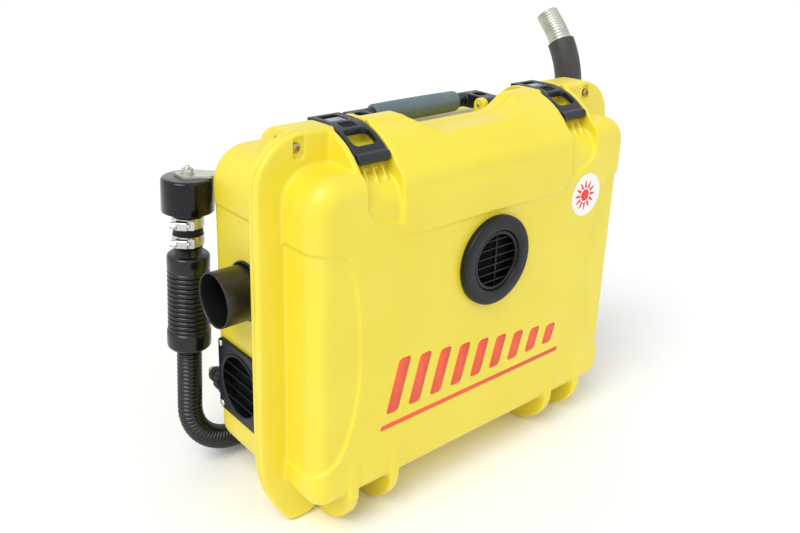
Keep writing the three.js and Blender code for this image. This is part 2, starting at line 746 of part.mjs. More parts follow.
function baseShell() {
  const flange = slab(rimOutline(), GAP, FLANGE);
  const tub = slab(tubOutline(BASE_HALF_WIDTH), -BASE_EDGE, BASE_DEPTH, BASE_EDGE);
  const baseSide = box(-400, 400, GAP, 300, -10, 500);
  const outer = LATCH_X + ribX + 42;
  const inner = LATCH_X - ribX;
  const profile = shoulder(1, baseShoulderAxisY, baseShoulderAxisZ, BASE_SHOULDER_RADIUS);
  const shoulders = SIDES.map(([, side]) =>
    beam(profile, Math.min(side * inner, side * outer), Math.max(side * inner, side * outer)),
  );
  const bridge = box(-inner - 1, inner + 1, GAP, FLANGE + 8, BODY_TOP - 20, RIM_TOP);
  const feet = [];
  for (const [, side] of SIDES) {
    for (const spread of [-FOOT_RIB_SPREAD, FOOT_RIB_SPREAD]) {
      feet.push(footRib(side * HINGE_X + spread, 1, BASE_DEPTH - 16));
    }
    feet.push(
      knuckle(side * HINGE_X - KNUCKLE_HALF_WIDTH, side * HINGE_X + KNUCKLE_HALF_WIDTH),
      box(
        side * HINGE_X - KNUCKLE_HALF_WIDTH,
        side * HINGE_X + KNUCKLE_HALF_WIDTH,
        GAP,
        FLANGE,
        HINGE_Z - KNUCKLE_RADIUS,
        HINGE_Z + KNUCKLE_RADIUS + 4,
      ),
    );
  }
  const body = join(
    flange,
    tub.intersect(baseSide),
    ...shoulders.map((part) => part.intersect(baseSide)),
    bridge,
    ...SIDES.map(([, side]) => handleEar(side)),
    ...feet,
  );

  const hollow = slab(
    tubOutline(BASE_HALF_WIDTH, WALL),
    -BASE_EDGE,
    BASE_DEPTH - WALL,
    BASE_EDGE - WALL,
  );
  const sideRecess = SIDES.map(([, side]) => {
    const wall = side * (BASE_HALF_WIDTH + 20);
    const floor = side * (BASE_HALF_WIDTH - 2);
    return box(
      Math.min(wall, floor),
      Math.max(wall, floor),
      FLANGE,
      BASE_DEPTH + 5,
      RECESS_TOP + 13,
      RECESS_TOP + 15,
    );
  });
  const lidKnuckleGaps = SIDES.flatMap(([, side]) =>
    [-FOOT_RIB_SPREAD, FOOT_RIB_SPREAD].map((spread) => {
      const x = side * HINGE_X + spread;
      const half = FOOT_RIB_THICKNESS / 2 + 1;
      return box(x - half, x + half, -1, 2 * KNUCKLE_RADIUS, -1, HINGE_Z + KNUCKLE_RADIUS + 3);
    }),
  );
  const sealGroove = slab(sealOutline(-GAP), GAP - 1, SEAL_SIZE + 0.5)
    .subtract(slab(sealOutline(SEAL_SIZE + GAP), GAP - 2, SEAL_SIZE + 1));
  const padlockHoles = SIDES.map(([, side]) =>
    rod("y", -1, 30, side * PADLOCK_X, PADLOCK_Z, PADLOCK_SCREW_RADIUS + PADLOCK_CLEARANCE, SMALL),
  );
  const handlePins = SIDES.map(([, side]) => {
    const x = side * HANDLE_PIN_X;
    return rod("x", x - 10, x + 10, HANDLE_PIN_Y, HANDLE_Z, HANDLE_PIN_RADIUS + GAP, SMALL);
  });
  const x = BASE_HALF_WIDTH;
  const ports = [
    rod("x", -x - 5, -x + 20, HEATER_Y, HEATER_Z, DUCT_RADIUS + GAP, LARGE),
    rod("x", -x - 5, -x + 20, GRILLE_Y, GRILLE_Z, GRILLE_OPENING_RADIUS, LARGE),
    rod("x", x - 20, x + 5, EXHAUST_Y, EXHAUST_Z, EXHAUST_RADIUS + 3, MEDIUM),
    rod("y", BASE_DEPTH - 20, BASE_DEPTH + 5, elbowX, elbowPortZ, ELBOW_RADIUS - 3 + GAP, MEDIUM),
    rod("y", BASE_DEPTH - 20, BASE_DEPTH + 5, CONNECTOR_X, CONNECTOR_Z, 7, MEDIUM),
  ];
  const screws = grilleScrewPlaces().map(([y, z]) =>
    rod("x", -x - 5, -x + WALL + 2, y, z, GRILLE_SCREW_RADIUS + GAP, SMALL),
  );
  const bracketScrewPlace = new THREE.Vector3(BRACKET_FOOT_X, 0, bracketScrewZ).applyMatrix4(stackTurn);
  const bracketHole = rod(
    "y",
    BASE_DEPTH - WALL - 2,
    BASE_DEPTH + 5,
    bracketScrewPlace.x,
    bracketScrewPlace.z,
    GRILLE_SCREW_RADIUS + GAP,
    SMALL,
  );
  return cut(
    body,
    hollow,
    handCut(),
    sealGroove,
    ...SIDES.map(([, side]) => baseChannel(side * LATCH_X)),
    ...sideRecess,
    ...lidKnuckleGaps,
    ...padlockHoles,
    ...handlePins,
    ...ports,
    ...screws,
    bracketHole,
    ...hingePinHole(),
  );
}

function sealOutline(inset) {
  return roundedRectangle(
    -SEAL_HALF_WIDTH + inset,
    SEAL_BOTTOM + inset,
    SEAL_HALF_WIDTH - inset,
    SEAL_TOP - inset,
    50 - inset,
  );
}

function rimSeal() {
  return slab(sealOutline(0), GAP, SEAL_SIZE).subtract(
    slab(sealOutline(SEAL_SIZE), GAP - 1, SEAL_SIZE + 1),
  );
}

function hingePin(side) {
  const reach = FOOT_RIB_SPREAD + FOOT_RIB_THICKNESS / 2;
  return rod("x", side * HINGE_X - reach, side * HINGE_X + reach, 0, HINGE_Z, HINGE_PIN_RADIUS, SMALL);
}

// ---- Latches ----
const latchOuter = SHOULDER_RADIUS - LATCH_RISE;
const latchInner = latchOuter - LATCH_THICKNESS;
const latchMiddle = (latchOuter + latchInner) / 2;
const [latchAcross, latchUp] = polar(latchMiddle, LATCH_PIN_ANGLE);
const latchPinY = shoulderAxisY - latchAcross;
const latchPinZ = shoulderAxisZ + latchUp;

function latchBody(side) {
  const end = LATCH_PIN_ANGLE;
  const points = [
    [LATCH_TAIL, shoulderAxisZ + latchInner],
    [LATCH_TAIL, shoulderAxisZ + latchOuter],
    ...arcPoints(-1, shoulderAxisY, shoulderAxisZ, latchOuter, 90, end, 5),
    ...arcPoints(-1, shoulderAxisY, shoulderAxisZ, latchInner, end, 90, 5),
  ];
  const left = side * LATCH_X - LATCH_HALF_WIDTH;
  const right = side * LATCH_X + LATCH_HALF_WIDTH;
  const middle = side * LATCH_X;
  const lever = beam(polygon(points), left, right);
  const eye = rod("x", left, right, latchPinY, latchPinZ, LATCH_KNUCKLE_RADIUS, MEDIUM);
  const window = box(
    middle - WINDOW_HALF_WIDTH,
    middle + WINDOW_HALF_WIDTH,
    WINDOW_FRONT,
    WINDOW_BACK,
    shoulderAxisZ,
    RIM_TOP + 5,
  );
  const slot = slideSlot(middle, GAP);
  const hole = rod("x", left - 1, right + 1, latchPinY, latchPinZ, LATCH_PIN_RADIUS + GAP, SMALL);
  return cut(join(lever, eye), window, slot, hole);
}

function slideSlot(middle, clearance) {
  const top = shoulderAxisZ + latchOuter;
  return box(
    middle - SLIDE_HALF_WIDTH - clearance,
    middle + SLIDE_HALF_WIDTH + clearance,
    SLIDE_FRONT - clearance,
    SLIDE_FRONT + SLIDE_LENGTH + SLIDE_TRAVEL + clearance,
    top - SLIDE_HEIGHT - clearance,
    top + 5,
  );
}

function latchSlide(side) {
  const top = shoulderAxisZ + latchOuter;
  const middle = side * LATCH_X;
  const block = box(
    middle - SLIDE_HALF_WIDTH,
    middle + SLIDE_HALF_WIDTH,
    SLIDE_FRONT,
    SLIDE_FRONT + SLIDE_LENGTH,
    top - SLIDE_HEIGHT,
    top - 1,
  );
  const ridge = box(
    middle - SLIDE_HALF_WIDTH + 2,
    middle + SLIDE_HALF_WIDTH - 2,
    SLIDE_FRONT + 6,
    SLIDE_FRONT + 9,
    top - 2,
    top + 1,
  );
  return join(block, ridge);
}

function latchPin(side) {
  const half = CHANNEL_HALF_WIDTH + RIB_THICKNESS;
  const middle = side * LATCH_X;
  return rod("x", middle - half, middle + half, latchPinY, latchPinZ, LATCH_PIN_RADIUS, SMALL);
}

function padlockScrew(side) {
  const x = side * PADLOCK_X;
  const seat = -FLANGE + 2.5 - GAP;
  const shank = rod("y", seat - 1, FLANGE + 4, x, PADLOCK_Z, PADLOCK_SCREW_RADIUS, SMALL);
  const head = rod("y", seat - 3, seat, x, PADLOCK_Z, PADLOCK_HEAD_RADIUS, MEDIUM);
  const cross = join(
    box(x - 3, x + 3, seat - 4, seat - 1.6, PADLOCK_Z - 0.6, PADLOCK_Z + 0.6),
    box(x - 0.6, x + 0.6, seat - 4, seat - 1.6, PADLOCK_Z - 3, PADLOCK_Z + 3),
  );
  return cut(join(shank, head), cross);
}

// ---- Lid vent ----
function ventRing() {
  const face = LID_DEPTH + GAP;
  const top = LID_DEPTH + VENT_HEIGHT;
  const seat = VENT_DISC_RADIUS + 3 * GAP;
  const profile = [
    [VENT_SPIGOT_RADIUS - 3, LID_DEPTH - VENT_SPIGOT_LENGTH],
    [VENT_SPIGOT_RADIUS, LID_DEPTH - VENT_SPIGOT_LENGTH],
    [VENT_SPIGOT_RADIUS, face],
    [VENT_RADIUS, face],
    [VENT_RADIUS, top - 3],
    [VENT_RADIUS - 2, top - 1],
    [VENT_RADIUS - 6, top],
    [VENT_DISC_RADIUS + 6, top],
    [VENT_DISC_RADIUS + 2, top - 1.5],
    [seat, top - 3],
    [seat, top - 9],
    [seat - 4, top - 9],
    [seat - 4, top - 12],
    [VENT_SPIGOT_RADIUS - 3, top - 12],
    [VENT_SPIGOT_RADIUS - 3, LID_DEPTH - VENT_SPIGOT_LENGTH],
  ];
  return turnedAlongY(profile, VENT_X, VENT_Z, LARGE);
}

function ventGrille() {
  const back = -(LID_DEPTH + VENT_HEIGHT - 9 + GAP);
  const front = -(LID_DEPTH + VENT_HEIGHT - 3.5);
  const hoop = ring("y", front, back, VENT_X, VENT_Z, VENT_DISC_RADIUS, VENT_DISC_RADIUS - 3, LARGE);
  const spine = box(
    VENT_X - 1,
    VENT_X + 1,
    front,
    back,
    VENT_Z - VENT_DISC_RADIUS + 1,
    VENT_Z + VENT_DISC_RADIUS - 1,
  );
  const pitch = (2 * VENT_DISC_RADIUS) / (VENT_SLATS + 1);
  const slats = [];
  for (let i = 1; i <= VENT_SLATS; i++) {
    const z = VENT_Z - VENT_DISC_RADIUS + i * pitch;
    const half = Math.sqrt((VENT_DISC_RADIUS - 1.5) ** 2 - (z - VENT_Z) ** 2);
    const low = z - SLAT_THICKNESS / 2;
    slats.push(box(VENT_X - half, VENT_X + half, front, back, low, low + SLAT_THICKNESS));
  }
  return join(hoop, spine, ...slats);
}

// ---- Carrying handle ----
const gripY = HANDLE_PIN_Y + HANDLE_REACH;

function handleFrame() {
  const arms = SIDES.flatMap(([, side]) => {
    const near = side * (HANDLE_PIN_X + EAR_THICKNESS / 2 + GAP);
    const far = side * HANDLE_HALF_WIDTH;
    const left = Math.min(near, far);
    const right = Math.max(near, far);
    const shape = new THREE.Shape();
    shape.absarc(HANDLE_PIN_Y, HANDLE_Z, EAR_RADIUS - 1, Math.PI / 2, Math.PI * 1.5);
    shape.absarc(gripY, HANDLE_Z, HANDLE_BAR_RADIUS, -Math.PI / 2, Math.PI / 2);
    const slot = box(
      left + 6,
      right - 5,
      HANDLE_PIN_Y + 12,
      gripY - 6,
      HANDLE_Z - 20,
      HANDLE_Z + 20,
    );
    return [cut(beam(shape, left, right, 8), slot)];
  });
  const bar = rod("x", -HANDLE_HALF_WIDTH + 1, HANDLE_HALF_WIDTH - 1, gripY, HANDLE_Z, HANDLE_BAR_RADIUS, MEDIUM);
  const pins = SIDES.map(([, side]) => {
    const x = side * (HANDLE_PIN_X + 8);
    return rod("x", x - 9, x + 9, HANDLE_PIN_Y, HANDLE_Z, HANDLE_PIN_RADIUS + GAP, SMALL);
  });
  return cut(join(bar, ...arms), ...pins);
}

function handleGrip() {
  const profile = [[HANDLE_BAR_RADIUS + GAP, -GRIP_HALF_LENGTH]];
  const pitch = (2 * GRIP_HALF_LENGTH - 12) / GRIP_GROOVES;
  profile.push([GRIP_RADIUS - 2, -GRIP_HALF_LENGTH], [GRIP_RADIUS, -GRIP_HALF_LENGTH + 3]);
  for (let i = 0; i < GRIP_GROOVES; i++) {
    const start = -GRIP_HALF_LENGTH + 6 + i * pitch;
    profile.push([GRIP_RADIUS, start], [GRIP_RADIUS - 0.8, start + pitch * 0.4]);
  }
  profile.push([GRIP_RADIUS, GRIP_HALF_LENGTH - 3], [GRIP_RADIUS - 2, GRIP_HALF_LENGTH]);
  profile.push([HANDLE_BAR_RADIUS + GAP, GRIP_HALF_LENGTH]);
  profile.push([HANDLE_BAR_RADIUS + GAP, -GRIP_HALF_LENGTH]);
  return solid(turned(profile, MEDIUM).rotateY(Math.PI / 2).translate(0, gripY, HANDLE_Z));
}

function handlePin(side) {
  const near = side * (HANDLE_PIN_X - EAR_THICKNESS / 2 - 1);
  const far = side * (HANDLE_PIN_X + EAR_THICKNESS / 2 + 10);
  return rod("x", Math.min(near, far), Math.max(near, far), HANDLE_PIN_Y, HANDLE_Z, HANDLE_PIN_RADIUS, SMALL);
}

// ---- Hot-air outlet and air inlet on the left wall ----
const leftWall = -BASE_HALF_WIDTH;

function outletDuct() {
  return ring(
    "x",
    leftWall - DUCT_PROJECTION,
    HEATER_LEFT - 14,
    HEATER_Y,
    HEATER_Z,
    DUCT_RADIUS,
    DUCT_RADIUS - DUCT_WALL,
    LARGE,
  );
}

function outletCollar() {
  return ring(
    "x",
    leftWall - GAP - DUCT_COLLAR_THICKNESS,
    leftWall - GAP,
    HEATER_Y,
    HEATER_Z,
    DUCT_COLLAR_RADIUS,
    DUCT_RADIUS + GAP,
    LARGE,
  );
}

function grilleScrewPlaces() {
  const spread = GRILLE_SIZE / 2 - 6;
  return [
    [GRILLE_Y - spread, GRILLE_Z - spread],
    [GRILLE_Y + spread, GRILLE_Z - spread],
    [GRILLE_Y - spread, GRILLE_Z + spread],
    [GRILLE_Y + spread, GRILLE_Z + spread],
  ];
}

function inletGrille() {
  const front = leftWall - GAP - GRILLE_THICKNESS;
  const back = leftWall - GAP;
  const half = GRILLE_SIZE / 2;
  const outline = roundedRectangle(GRILLE_Y - half, GRILLE_Z - half, GRILLE_Y + half, GRILLE_Z + half, 5);
  const plate = beam(outline, front, back, 4);
  const opening = rod("x", front - 1, back + 1, GRILLE_Y, GRILLE_Z, GRILLE_OPENING_RADIUS, LARGE);
  const pitch = (2 * GRILLE_OPENING_RADIUS) / (GRILLE_SLATS + 1);
  const slats = [];
  for (let i = 1; i <= GRILLE_SLATS; i++) {
    const z = GRILLE_Z - GRILLE_OPENING_RADIUS + i * pitch;
    const reach = Math.sqrt((GRILLE_OPENING_RADIUS + 1) ** 2 - (z - GRILLE_Z) ** 2);
    slats.push(box(front + 1, back, GRILLE_Y - reach, GRILLE_Y + reach, z - 0.9, z + 0.9));
  }
  const holes = grilleScrewPlaces().map(([y, z]) =>
    rod("x", front - 1, back + 1, y, z, GRILLE_SCREW_RADIUS + GAP, SMALL),
  );
  return cut(join(cut(plate, opening), ...slats), ...holes);
}

function grilleScrew(y, z) {
  const seat = leftWall - 2 * GAP - GRILLE_THICKNESS;
  return join(
    rod("x", seat - SCREW_HEAD_HEIGHT, seat, y, z, SCREW_HEAD_RADIUS, SMALL),
    rod("x", seat - 1, seat + SCREW_LENGTH, y, z, GRILLE_SCREW_RADIUS, SMALL),
  );
}

// ---- Combustion-air stack behind the left corner ----
function intakeCan() {
  const profile = [
    [NECK_BORE, CAN_NECK_END],
    [NECK_RADIUS, CAN_NECK_END],
    [NECK_RADIUS, CAN_BOTTOM],
    [CAN_RADIUS - 1, CAN_BOTTOM],
    [CAN_RADIUS, CAN_BOTTOM + 1.5],
    [CAN_RADIUS, CAN_TOP - 4],
    [CAN_RADIUS - 1.2, CAN_TOP - 1.2],
    [CAN_RADIUS - 4, CAN_TOP],
    [0, CAN_TOP],
    [0, CAN_TOP - 8],
    [CAN_RADIUS - 2, CAN_TOP - 8],
    [CAN_RADIUS - 2, CAN_BOTTOM + 2],
    [NECK_BORE, CAN_BOTTOM + 2],
    [NECK_BORE, CAN_NECK_END],
  ];
  const stud = rod("z", CAN_TOP - 6, CAN_TOP + 5, STACK_X, STACK_Y, STUD_RADIUS + GAP, SMALL);
  return cut(turnedAlongZ(profile, STACK_X, STACK_Y, LARGE), stud);
}

// A hexagon-headed bolt that holds the bracket to the can.
function capBolt() {
  const bottom = CAN_TOP + 2 * GAP + BRACKET_THICKNESS;
  return join(
    rod("z", CAN_TOP - 6 + GAP, bottom + 1, STACK_X, STACK_Y, STUD_RADIUS, SMALL),
    rod("z", bottom, bottom + NUT_HEIGHT, STACK_X, STACK_Y, NUT_RADIUS, 6),
    rod("z", bottom, bottom + NUT_HEIGHT + 4, STACK_X, STACK_Y, STUD_RADIUS, SMALL),
  );
}

const bracketScrewZ = CAN_TOP - BRACKET_LEG / 2;

function intakeBracket() {
  const bottom = CAN_TOP + GAP;
  const top = bottom + BRACKET_THICKNESS;
  const half = BRACKET_WIDTH / 2;
  const wall = BASE_DEPTH + GAP;
  const shape = polygon([
    [STACK_X - half, STACK_Y - half],
    [BRACKET_FOOT_X - half, wall],
    [BRACKET_FOOT_X + half, wall],
    [STACK_X + half, STACK_Y + half],
    [STACK_X - half, STACK_Y + half],
  ]);
  const leg = box(
    BRACKET_FOOT_X - half,
    BRACKET_FOOT_X + half,
    wall,
    wall + BRACKET_THICKNESS,
    top - BRACKET_LEG,
    top,
  );
  const stud = rod("z", bottom - 1, top + 1, STACK_X, STACK_Y, STUD_RADIUS + GAP, SMALL);
  const hole = rod(
    "y",
    wall - 1,
    wall + 10,
    BRACKET_FOOT_X,
    bracketScrewZ,
    GRILLE_SCREW_RADIUS + GAP,
    SMALL,
  );
  return cut(join(sheet(shape, bottom, top), leg), stud, hole);
}

function bracketScrew() {
  const seat = BASE_DEPTH + 2 * GAP + BRACKET_THICKNESS;
  return join(
    rod("y", seat, seat + SCREW_HEAD_HEIGHT, BRACKET_FOOT_X, bracketScrewZ, SCREW_HEAD_RADIUS, SMALL),
    rod("y", seat - SCREW_LENGTH + 2, seat + 1, BRACKET_FOOT_X, bracketScrewZ, GRILLE_SCREW_RADIUS, SMALL),
  );
}

const sleeveInner = NECK_RADIUS + GAP;
const sleeveOuter = sleeveInner + SLEEVE_THICKNESS;

function rubberSleeve() {
  return ring("z", SLEEVE_BOTTOM, SLEEVE_TOP, STACK_X, STACK_Y, sleeveOuter, sleeveInner, LARGE);
}

function hoseClamp(z) {
  const inner = sleeveOuter + GAP;
  const outer = inner + CLAMP_THICKNESS;
  const low = z - CLAMP_WIDTH / 2;
  const band = ring("z", low, low + CLAMP_WIDTH, STACK_X, STACK_Y, outer, inner, LARGE);
  const front = STACK_Y - inner - 0.4;
  const housing = box(STACK_X - 9, STACK_X + 5, front - 7, front, low + 1, low + CLAMP_WIDTH - 1);
  const screw = rod("x", STACK_X - 15, STACK_X - 8, front - 4, z, 3.6, 6);
  return join(band, housing, screw);
}

function silencer() {
  const profile = [
    [NECK_BORE, SLEEVE_BOTTOM + 17],
    [NECK_BORE, SILENCER_BOTTOM + HOSE_SOCKET],
    [HOSE_RADIUS + SOCKET_CLEARANCE, SILENCER_BOTTOM + HOSE_SOCKET],
    [HOSE_RADIUS + SOCKET_CLEARANCE, SILENCER_BOTTOM],
    [SILENCER_COLLAR_RADIUS - 6, SILENCER_BOTTOM],
    [SILENCER_COLLAR_RADIUS, SILENCER_BOTTOM + 7],
    [SILENCER_COLLAR_RADIUS, SILENCER_COLLAR_TOP],
  ];
  const ribTop = SILENCER_TOP - SILENCER_BAND;
  const pitch = (ribTop - SILENCER_COLLAR_TOP) / SILENCER_RIBS;
  for (let i = 0; i < SILENCER_RIBS; i++) {
    const z = SILENCER_COLLAR_TOP + i * pitch;
    profile.push([SILENCER_RADIUS - SILENCER_RIB_DEPTH, z + pitch * 0.25]);
    profile.push([SILENCER_RADIUS, z + pitch * 0.75]);
  }
  profile.push(
    [SILENCER_RADIUS - SILENCER_RIB_DEPTH, ribTop],
    [SILENCER_RADIUS, ribTop + 1],
    [SILENCER_RADIUS, SILENCER_TOP - 2],
    [SILENCER_RADIUS - 2, SILENCER_TOP],
    [NECK_RADIUS + 2, SILENCER_TOP],
    [NECK_RADIUS + 2, SLEEVE_BOTTOM - GAP],
    [NECK_RADIUS, SLEEVE_BOTTOM - GAP],
    [NECK_RADIUS, SLEEVE_BOTTOM + 17],
    [NECK_BORE, SLEEVE_BOTTOM + 17],
  );
  return turnedAlongZ(profile, STACK_X, STACK_Y, MEDIUM);
}

// The hose leaves the leaning silencer in line with it and ends level, towards +X.
const hoseStart = new THREE.Vector3(STACK_X, STACK_Y, SILENCER_BOTTOM + HOSE_SOCKET - GAP).applyMatrix4(stackTurn);
const lean = rad(STACK_TILT);
const hoseRoute = new BentRoute({
  start: hoseStart,
  along: new THREE.Vector3(-Math.sin(lean), 0, -Math.cos(lean)),
  toward: new THREE.Vector3(Math.cos(lean), 0, -Math.sin(lean)),
  lead: (hoseStart.z - HOSE_END_Z - HOSE_BEND_RADIUS * (1 + Math.sin(lean))) / Math.cos(lean),
  radius: HOSE_BEND_RADIUS,
  angle: Math.PI / 2 + lean,
  tail: HOSE_RUN,
});

function intakeHose() {
  return ribbedTube(hoseRoute, HOSE_PITCH, HOSE_RADIUS, HOSE_ROOT, HOSE_BORE);
}

const hoseEndX = hoseRoute.at(hoseRoute.length).point.x;
const elbowX = hoseEndX + ELBOW_RADIUS + 2;
const elbowPortZ = HOSE_END_Z + ELBOW_LIFT;

function intakeElbow() {
  const port = elbowPortZ;
  const mouth = hoseEndX - HOSE_SOCKET;
  const ball = new THREE.SphereGeometry(ELBOW_RADIUS, MEDIUM, 6).translate(elbowX, STACK_Y, HOSE_END_Z);
  const upperBall = new THREE.SphereGeometry(ELBOW_RADIUS - 3, MEDIUM, 6).translate(elbowX, STACK_Y, port);
  const outside = join(
    rod("x", mouth, elbowX, STACK_Y, HOSE_END_Z, ELBOW_RADIUS, MEDIUM),
    solid(ball),
    rod("z", HOSE_END_Z, port, elbowX, STACK_Y, ELBOW_RADIUS - 3, MEDIUM),
    solid(upperBall),
    rod("y", BASE_DEPTH - ELBOW_SPIGOT, STACK_Y, elbowX, port, ELBOW_RADIUS - 3, MEDIUM),
    rod("y", BASE_DEPTH + GAP, BASE_DEPTH + 4, elbowX, port, ELBOW_FLANGE_RADIUS, LARGE),
  );
  const bore = [
    rod("x", mouth - 1, hoseEndX + GAP, STACK_Y, HOSE_END_Z, HOSE_RADIUS + SOCKET_CLEARANCE, MEDIUM),
    rod("x", hoseEndX, elbowX, STACK_Y, HOSE_END_Z, HOSE_BORE, MEDIUM),
    rod("z", HOSE_END_Z - 5, port + 5, elbowX, STACK_Y, HOSE_BORE, MEDIUM),
    rod("y", BASE_DEPTH - ELBOW_SPIGOT - 1, STACK_Y, elbowX, port, HOSE_BORE, MEDIUM),
  ];
  return cut(outside, ...bore);
}

// ---- Fuel connector ----
function fuelConnector() {
  let start = BASE_DEPTH + GAP;
  const steps = CONNECTOR_STEPS.map(([radius, length]) => {
    const step = rod("y", start, start + length, CONNECTOR_X, CONNECTOR_Z, radius, MEDIUM);
    start += length;
    return step;
  });
  const spigot = rod("y", BASE_DEPTH - 10, BASE_DEPTH + 2, CONNECTOR_X, CONNECTOR_Z, 7 - GAP, MEDIUM);
  const bore = rod("y", BASE_DEPTH - 11, start + 1, CONNECTOR_X, CONNECTOR_Z, CONNECTOR_BORE, SMALL);
  return cut(join(spigot, ...steps), bore);
}

const connectorEnd = BASE_DEPTH + GAP + CONNECTOR_STEPS.reduce((sum, [, length]) => sum + length, 0);

function fuelBarb() {
  const start = connectorEnd + GAP;
  const hexagon = rod("y", start, start + 5, CONNECTOR_X, CONNECTOR_Z, BARB_RADIUS + 2, 6);
  const tail = rod("y", start, start + BARB_LENGTH, CONNECTOR_X, CONNECTOR_Z, BARB_RADIUS - 1, SMALL);
  const plug = rod("y", start - 8, start + 1, CONNECTOR_X, CONNECTOR_Z, CONNECTOR_BORE - GAP, SMALL);
  const bore = rod("y", start - 9, start + BARB_LENGTH + 1, CONNECTOR_X, CONNECTOR_Z, 1.5, SMALL);
  return cut(join(hexagon, tail, plug), bore);
}

// ---- Exhaust ----
const rightWall = BASE_HALF_WIDTH;

function exhaustInner() {
  const top = HEATER_Z - HEATER_HALF_HEIGHT - 0.5;
  const route = new BentRoute({
    start: new THREE.Vector3(EXHAUST_INLET_X, EXHAUST_Y, top),
    along: new THREE.Vector3(0, 0, -1),
    toward: new THREE.Vector3(1, 0, 0),
    lead: top - EXHAUST_Z - EXHAUST_ELBOW_RADIUS,
    radius: EXHAUST_ELBOW_RADIUS,
    angle: Math.PI / 2,
    tail: rightWall - 22 - EXHAUST_INLET_X - EXHAUST_ELBOW_RADIUS,
  });
  return bentPipe(route, EXHAUST_RADIUS - 1.6, EXHAUST_RADIUS - 2.8, SMALL);
}

function exhaustFlange() {
  return join(
    ring("x", rightWall + GAP, rightWall + 3, EXHAUST_Y, EXHAUST_Z, EXHAUST_FLANGE_RADIUS, EXHAUST_RADIUS + GAP, LARGE),
    ring("x", rightWall - WALL - 8, rightWall + 1, EXHAUST_Y, EXHAUST_Z, EXHAUST_RADIUS + 2.6, EXHAUST_RADIUS + 2 * GAP, MEDIUM),
  );
}

const riserRoute = new BentRoute({
  start: new THREE.Vector3(rightWall - 30, EXHAUST_Y, EXHAUST_Z),
  along: new THREE.Vector3(1, 0, 0),
  toward: new THREE.Vector3(0, 0, 1),
  lead: EXHAUST_X - EXHAUST_ELBOW_RADIUS - rightWall + 30,
  radius: EXHAUST_ELBOW_RADIUS,
  angle: Math.PI / 2,
  tail: RISER_TOP - 4 - EXHAUST_Z - EXHAUST_ELBOW_RADIUS,
});

function exhaustRiser() {
  return bentPipe(riserRoute, EXHAUST_RADIUS, EXHAUST_RADIUS - EXHAUST_WALL, MEDIUM);
}

const flexRoute = new BentRoute({
  start: new THREE.Vector3(EXHAUST_X, EXHAUST_Y, RISER_TOP - FLEX_LAP),
  along: new THREE.Vector3(0, 0, 1),
  toward: new THREE.Vector3(0, 1, 0),
  lead: FLEX_LAP,
  radius: FLEX_BEND_RADIUS,
  angle: rad(FLEX_BEND),
  tail: FLEX_TAIL,
});

function exhaustFlex() {
  return ribbedTube(flexRoute, FLEX_PITCH, FLEX_RADIUS, FLEX_ROOT, FLEX_BORE);
}

function exhaustSleeve() {
  const lead = RISER_TOP - SLEEVE_START;
  const route = new BentRoute({
    start: new THREE.Vector3(EXHAUST_X, EXHAUST_Y, SLEEVE_START),
    along: new THREE.Vector3(0, 0, 1),
    toward: new THREE.Vector3(0, 1, 0),
    lead,
    radius: FLEX_BEND_RADIUS,
    angle: rad(SLEEVE_BEND),
    tail: 0,
  });
  return bentPipe(route, SLEEVE_OUTER, SLEEVE_INNER, MEDIUM);
}

function exhaustClip() {
  const low = CLIP_Z - CLIP_WIDTH / 2;
  const high = CLIP_Z + CLIP_WIDTH / 2;
  const inner = SLEEVE_OUTER + 2 * GAP;
  const hoop = ring("z", low, high, EXHAUST_X, EXHAUST_Y, inner + 2, inner, LARGE);
  const foot = box(rightWall + GAP, rightWall + 3, EXHAUST_Y - 30, EXHAUST_Y + 30, low, high);
  const web = box(rightWall + 1, EXHAUST_X - inner - 0.5, EXHAUST_Y - 10, EXHAUST_Y + 10, low, high);
  return join(hoop, foot, web);
}

// ---- Heater unit inside ----
function casingOutline(inset) {
  return roundedRectangle(
    HEATER_Y - HEATER_HALF_DEPTH + inset,
    HEATER_Z - HEATER_HALF_HEIGHT + inset,
    HEATER_Y + HEATER_HALF_DEPTH - inset,
    HEATER_Z + HEATER_HALF_HEIGHT - inset,
    CASING_RADIUS - inset,
  );
}

function casingHalf(upper) {
  const body = beam(casingOutline(0), HEATER_LEFT, HEATER_RIGHT, 2);
  const hollow = beam(casingOutline(CASING_WALL), HEATER_LEFT + CASING_WALL, HEATER_RIGHT + 1, 2);
  const outlet = rod("x", HEATER_LEFT - 1, HEATER_LEFT + 5, HEATER_Y, HEATER_Z, DUCT_RADIUS - 4, LARGE);
  const split = HEATER_Z + (upper ? GAP / 2 : -GAP / 2);
  const keep = upper
    ? box(-400, 400, -100, 200, split, 600)
    : box(-400, 400, -100, 200, 0, split);
  const port = rod("z", 150, HEATER_Z - 30, EXHAUST_INLET_X, EXHAUST_Y, EXHAUST_RADIUS, MEDIUM);
  return cut(body, hollow, outlet, port).intersect(keep);
}

function outletNozzle() {
  const left = HEATER_LEFT - 32;
  const inner = DUCT_RADIUS - DUCT_WALL - GAP;
  return join(
    ring("x", left, HEATER_LEFT - GAP, HEATER_Y, HEATER_Z, inner, inner - 2, LARGE),
    ring("x", HEATER_LEFT - 3, HEATER_LEFT - GAP, HEATER_Y, HEATER_Z, inner + 8, inner - 2, LARGE),
  );
}

const exchangerLeft = HEATER_LEFT + 26;
const exchangerRight = exchangerLeft + EXCHANGER_LENGTH;

